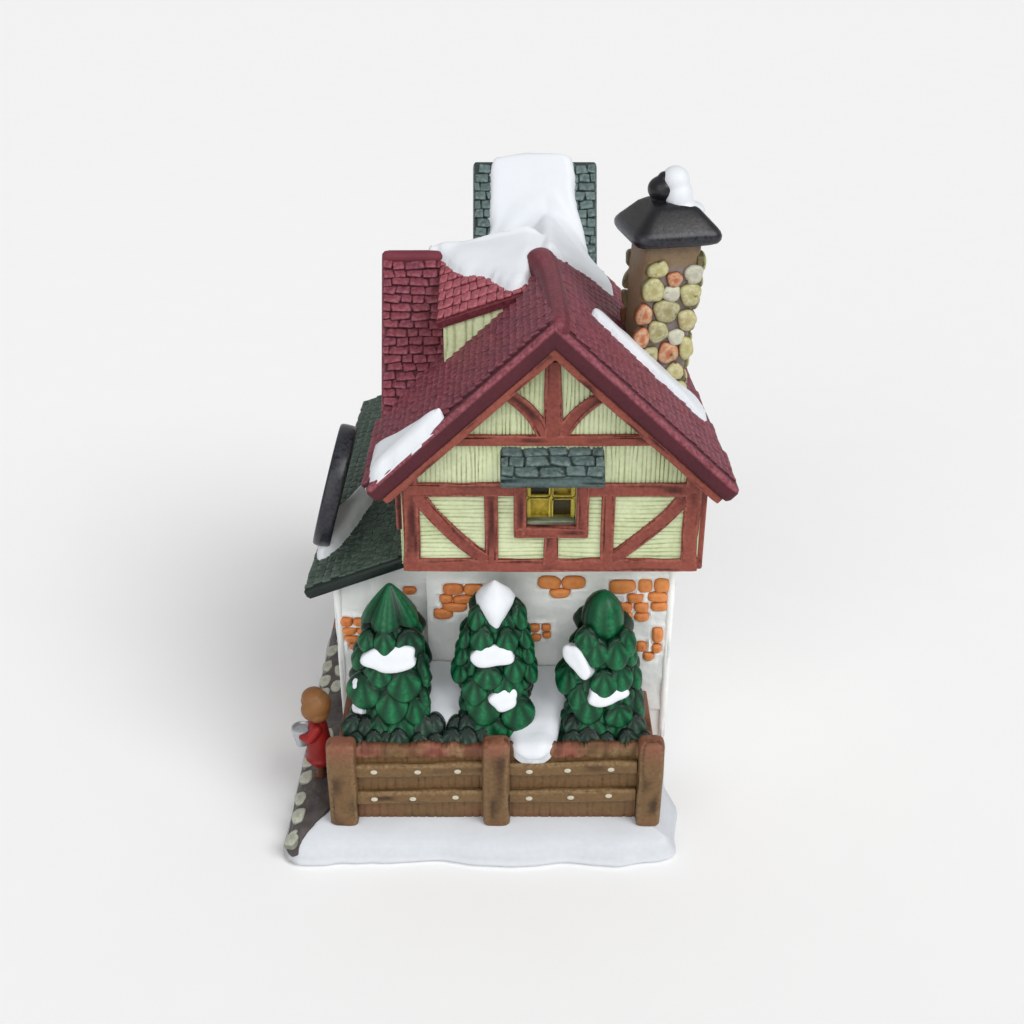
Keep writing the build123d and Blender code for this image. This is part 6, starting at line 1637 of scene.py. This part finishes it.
hedge = Build()
bed_panel = Panel((0, 0, BED - 0.6), (1, 0, 0), (0, 1, 0), (0, 0, 1))
relief(hedge, bed_panel, np.arange(-49.4, 45.6, 1.2), np.arange(-77.9, -48.0, 1.2), earth,
       lambda u, v: v < -47.8 - 3.6 * (u > -25.9), back=-6.0)
HEDGE_ROW = 18
for index in range(2 * HEDGE_ROW):
    back_row = index >= HEDGE_ROW
    x = -48.0 + 92.0 * (index % HEDGE_ROW) / (HEDGE_ROW - 1) + draw.uniform(-1.5, 1.5)
    y = (-73.0 if back_row else -76.4) + draw.uniform(-0.5, 0.5)
    axes = facing(draw.uniform(-0.3, 0.3), -1.0, 0.55)
    wide = draw.uniform(6.0, 8.4)
    if not 1.0 < x < 19.5:
        dome(hedge, (x, y, BED + draw.uniform(0.2, 2.2) + 2.8 * back_row), *axes, wide, wide * 1.15, 1.6,
             draw.uniform(0, 0.9), square=2.2, narrow=0.3, flutes=9.0, hub=0.34, lean=0.9, sink=2.0,
             turn=draw.uniform(-14, 14), count=28)
piece("bed_hedge", hedge, "hedge_green", "planter_bed", sharp=60.0)


def tongue(name, path, widths, nodes):
    """Snow that runs down from the wall; path is (y, z), widths are left and right ends at those places."""
    marks = np.array(path, float)
    run = np.concatenate([[0], np.cumsum(np.hypot(*np.diff(marks, axis=0).T))])
    along = np.linspace(0, run[-1], 70)
    ys, zs = (np.interp(along, run, marks[:, k]) for k in range(2))
    left, right = (softened(np.interp(along, run, [w[k] for w in widths])[None], 4)[0] for k in range(2))
    tip = np.sqrt(1 - np.clip((along - run[-1] + 6.0) / 6.0, 0, 0.999) ** 2)
    share = np.linspace(-1, 1, 25)
    xs = ((left + right) / 2)[:, None] + ((right - left) / 2 * tip)[:, None] * share
    swell = (1 - share ** 4)[None] * tip[:, None]
    across = np.broadcast_to(ys[:, None], xs.shape)
    rise = 2.2 * swell * (1 + 0.3 * lumpy(flat(xs, across), 6.0, 12))
    fall = np.gradient(zs) / np.hypot(np.gradient(zs), np.gradient(ys))
    climb = np.sqrt(1 - fall ** 2)
    top = np.stack([xs, ys[:, None] + fall[:, None] * rise, zs[:, None] + climb[:, None] * rise], -1)
    low = np.stack([xs, across, np.broadcast_to(zs[:, None] - 2.4, xs.shape)], -1)
    made = Build()
    made.shell(top, low, np.zeros(xs.shape + (3,)))
    piece(name, made, "snow_glaze", *nodes, sharp=60.0)


tongue("bed_snow_left", [(-50.8, 48.4), (-60.0, 44.6), (-67.0, 41.2), (-72.0, 38.4)],
       [(-26.0, -12.6), (-27.2, -11.4), (-27.0, -11.8), (-25.0, -13.0)], ["planter_snow"])
tongue("bed_snow_right",
       [(-50.8, 46.4), (-60.0, 42.6), (-68.0, 39.8), (-76.0, 37.8), (-80.0, 37.2), (-81.6, 36.2), (-82.2, 33.8)],
       [(2.4, 24.6), (4.6, 23.6), (2.2, 19.2), (2.2, 17.4), (2.6, 16.8), (3.0, 16.4), (3.4, 16.0)], [])

# Entrance: a timber surround and its step
PORTAL_X = -59.0
portal = Build()
for y in (24.0, 44.0):
    bar(portal, (PORTAL_X, y, 9.0), (PORTAL_X, y, 52.8), (-1, 0, 0), 4.0, 10.0, corner=8, grain=0.14)
bar(portal, (PORTAL_X, 22.0, 51.0), (PORTAL_X, 46.0, 51.0), (-1, 0, 0), 4.0, 10.2, corner=8, grain=0.14)
piece("door_frame_timbers", portal, "timber_paint", "door_surround")
step = Build()
bar(step, (-65.5, 22.1, 11.0), (-65.5, 45.9, 11.0), (-1, 0, 0), 4.0, 3.0, corner=5, grain=0.12)
bar(step, (-59.1, 26.2, 11.0), (-59.1, 41.8, 11.0), (-1, 0, 0), 4.0, 9.8, corner=8, grain=0.12)
piece("door_step_stone", step, "stone_mortar", "door_step", look="step_navy")

# Figure on the walk, in smooth painted lumps placed from its feet
FX, FY, FZ = -61.6, -61.0, 9.9


def body_part(stops, count):
    """Balls along a part of the figure; stops are offsets and a radius."""
    return chain([((FX + x, FY + y, FZ + z), radius) for x, y, z, radius in stops], count)


def limbs(stops):
    """The same limb on both sides."""
    return [ball for side in (-1, 1) for ball in body_part([(x, side * y, z, r) for x, y, z, r in stops], 6)]


def lumps(*rows):
    """Ellipsoids; rows are offsets and radii."""
    return [((FX + x, FY + y, FZ + z), tuple(radii)) for x, y, z, *radii in rows]


blob("walker_boots", limbs([(-1.4, 1.6, 1.3, 1.3), (0, 1.5, 1.5, 1.5), (0, 1.4, 8.5, 1.5)]), "boots_brown",
     "figure_boots", voxel=0.3, rounds=3)
coat_body = body_part([(0, 0, 9.0, 4.6), (0, 0, 14.0, 4.2), (0, 0, 21.0, 3.3)], 7)
coat_hem = lumps((0, 0, 8.6, 5.0, 5.2, 1.6))
arms = limbs([(0, 3.2, 21.6, 1.9), (-2.2, 4.2, 18.6, 1.7), (-4.8, 2.6, 18.4, 1.4)])
blob("walker_coat", coat_body + coat_hem + arms, "coat_red", "figure_coat", voxel=0.32, rounds=4)
blob("walker_head", lumps(
    (-0.4, 0, 28.0, 3.7, 3.6, 4.2), (-4.0, 0, 27.6, 0.7, 0.55, 0.7), (-0.2, 0, 24.2, 1.9, 1.9, 1.8),
    (-3.0, -1.6, 26.8, 0.9, 0.9, 0.8), (-3.0, 1.6, 26.8, 0.9, 0.9, 0.8),
), "skin", "figure_head", voxel=0.28, rounds=3)
blob("walker_hair", lumps(
    (0.6, -0.3, 30.2, 4.6, 4.9, 4.6), (0.6, -0.6, 27.4, 4.0, 4.5, 3.4), (-0.6, 0, 33.0, 3.9, 4.1, 2.8),
    (-2.6, 0, 31.8, 2.2, 3.4, 1.3), (-0.8, -1.6, 29.0, 4.0, 3.6, 4.2),
), "hair_brown", "figure_hair", voxel=0.3, rounds=4)
PAIL = [
    (13.4, 1.5), (13.7, 2.1), (15.0, 2.5), (17.6, 2.9), (19.6, 3.1), (20.0, 3.3), (20.5, 3.2), (20.6, 2.7),
    (20.0, 2.4),
]
pail = Build()
lathe(pail, (FX - 5.6, FY, FZ), (0, 0, 1), PAIL, 28)
piece("walker_pail", pail, "silver_paint", "figure_pail")

# Lamp pieces that show when it is drawn out
BULB = [
    (0, 5.0), (2, 5.4), (4, 6.4), (7, 8.6), (10, 9.8), (12, 10.0), (15, 9.7), (19, 8.2), (23, 6.3), (26, 4.4),
    (28.4, 2.6), (29.6, 1.4), (30.0, 0.4),
]
bulb_foot = (35.5, LAMP_Y, LAMP_Z)
bulb = Build()
lathe(bulb, bulb_foot, (-1, 0, 0), BULB, 40)
piece("bulb_envelope", bulb, "bulb_clear", "bulb_glass", body="lamp")
screw = Build()
thread = [(k * 0.5, 5.7 + 0.4 * math.sin(k * math.pi / 2.0)) for k in range(31)]
lathe(screw, bulb_foot, (1, 0, 0), thread, 36)
piece("bulb_screw", screw, "cap_brass", "bulb_cap", body="lamp")

# Paint on the solids that stay
KEPT = {
    "lower_walls": "stucco", "wing_walls": "stucco", "tower_walls": "stucco", "upper_walls": "siding",
    "dormer_walls": "siding", "clock_dial": "dial_ivory", "clock_marks": "black_satin", "clock_hands": "black_satin",
    "front_door": "door_paint", "lamp_holder": "lamp_plastic", "lamp_clips": "clip_steel",
}
for name, look in KEPT.items():
    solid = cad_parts[name]
    solid.data.materials.clear()
    solid.data.materials.append(MATERIALS[look])

# Studio: pale floor, soft light from the right and the photograph's view
floor_mesh = bpy.data.meshes.new("studio_floor")
FLOOR_HALF, FLOOR_LEVEL = 6, -0.0002
corners = [(x * FLOOR_HALF, y * FLOOR_HALF, FLOOR_LEVEL) for x, y in ((-1, -1), (1, -1), (1, 1), (-1, 1))]
floor_mesh.from_pydata(corners, [], [(0, 1, 2, 3)])
floor = bpy.data.objects.new("studio_floor", floor_mesh)
bpy.context.scene.collection.objects.link(floor)
plain = Nodes("floor_paper")
grain = plain.noise(40.0)
plain.put(plain.shader.inputs["Base Color"], plain.mix(grain, linear(246, 246, 246), linear(248, 248, 248)))
plain.shader.inputs["Roughness"].default_value = 0.9
plain.shader.inputs["Specular IOR Level"].default_value = 0.1
floor_mesh.materials.append(plain.material)

world = bpy.data.worlds.new("studio_world")
world.use_nodes = True
sky = world.node_tree.nodes["Background"].inputs
sky["Color"].default_value = (1, 1, 1, 1)
sky["Strength"].default_value = 0.43
bpy.context.scene.world = world
bpy.context.scene.view_settings.view_transform = "Standard"


def sun(name, direction, strength, angle):
    """A soft light from far away; direction points toward it."""
    lamp = bpy.data.lights.new(name, "SUN")
    lamp.energy = strength
    lamp.angle = math.radians(angle)
    made = bpy.data.objects.new(name, lamp)
    made.rotation_euler = Vector(direction).to_track_quat("Z", "Y").to_euler()
    bpy.context.scene.collection.objects.link(made)


sun("key", (0.75, -0.6, 1.0), 1.65, 35.0)
sun("fill", (-0.35, -1.0, 0.55), 1.1, 60.0)

LOOK_DOWN = 28.5
camera_data = bpy.data.cameras.new("camera")
camera_data.sensor_width = 36.0
camera_data.lens = 45.7
camera = bpy.data.objects.new("camera", camera_data)
camera.location = (0.0031, -0.4075, 0.300)
camera.rotation_euler = (math.radians(90 - LOOK_DOWN), 0, 0)
bpy.context.scene.collection.objects.link(camera)
bpy.context.scene.camera = camera
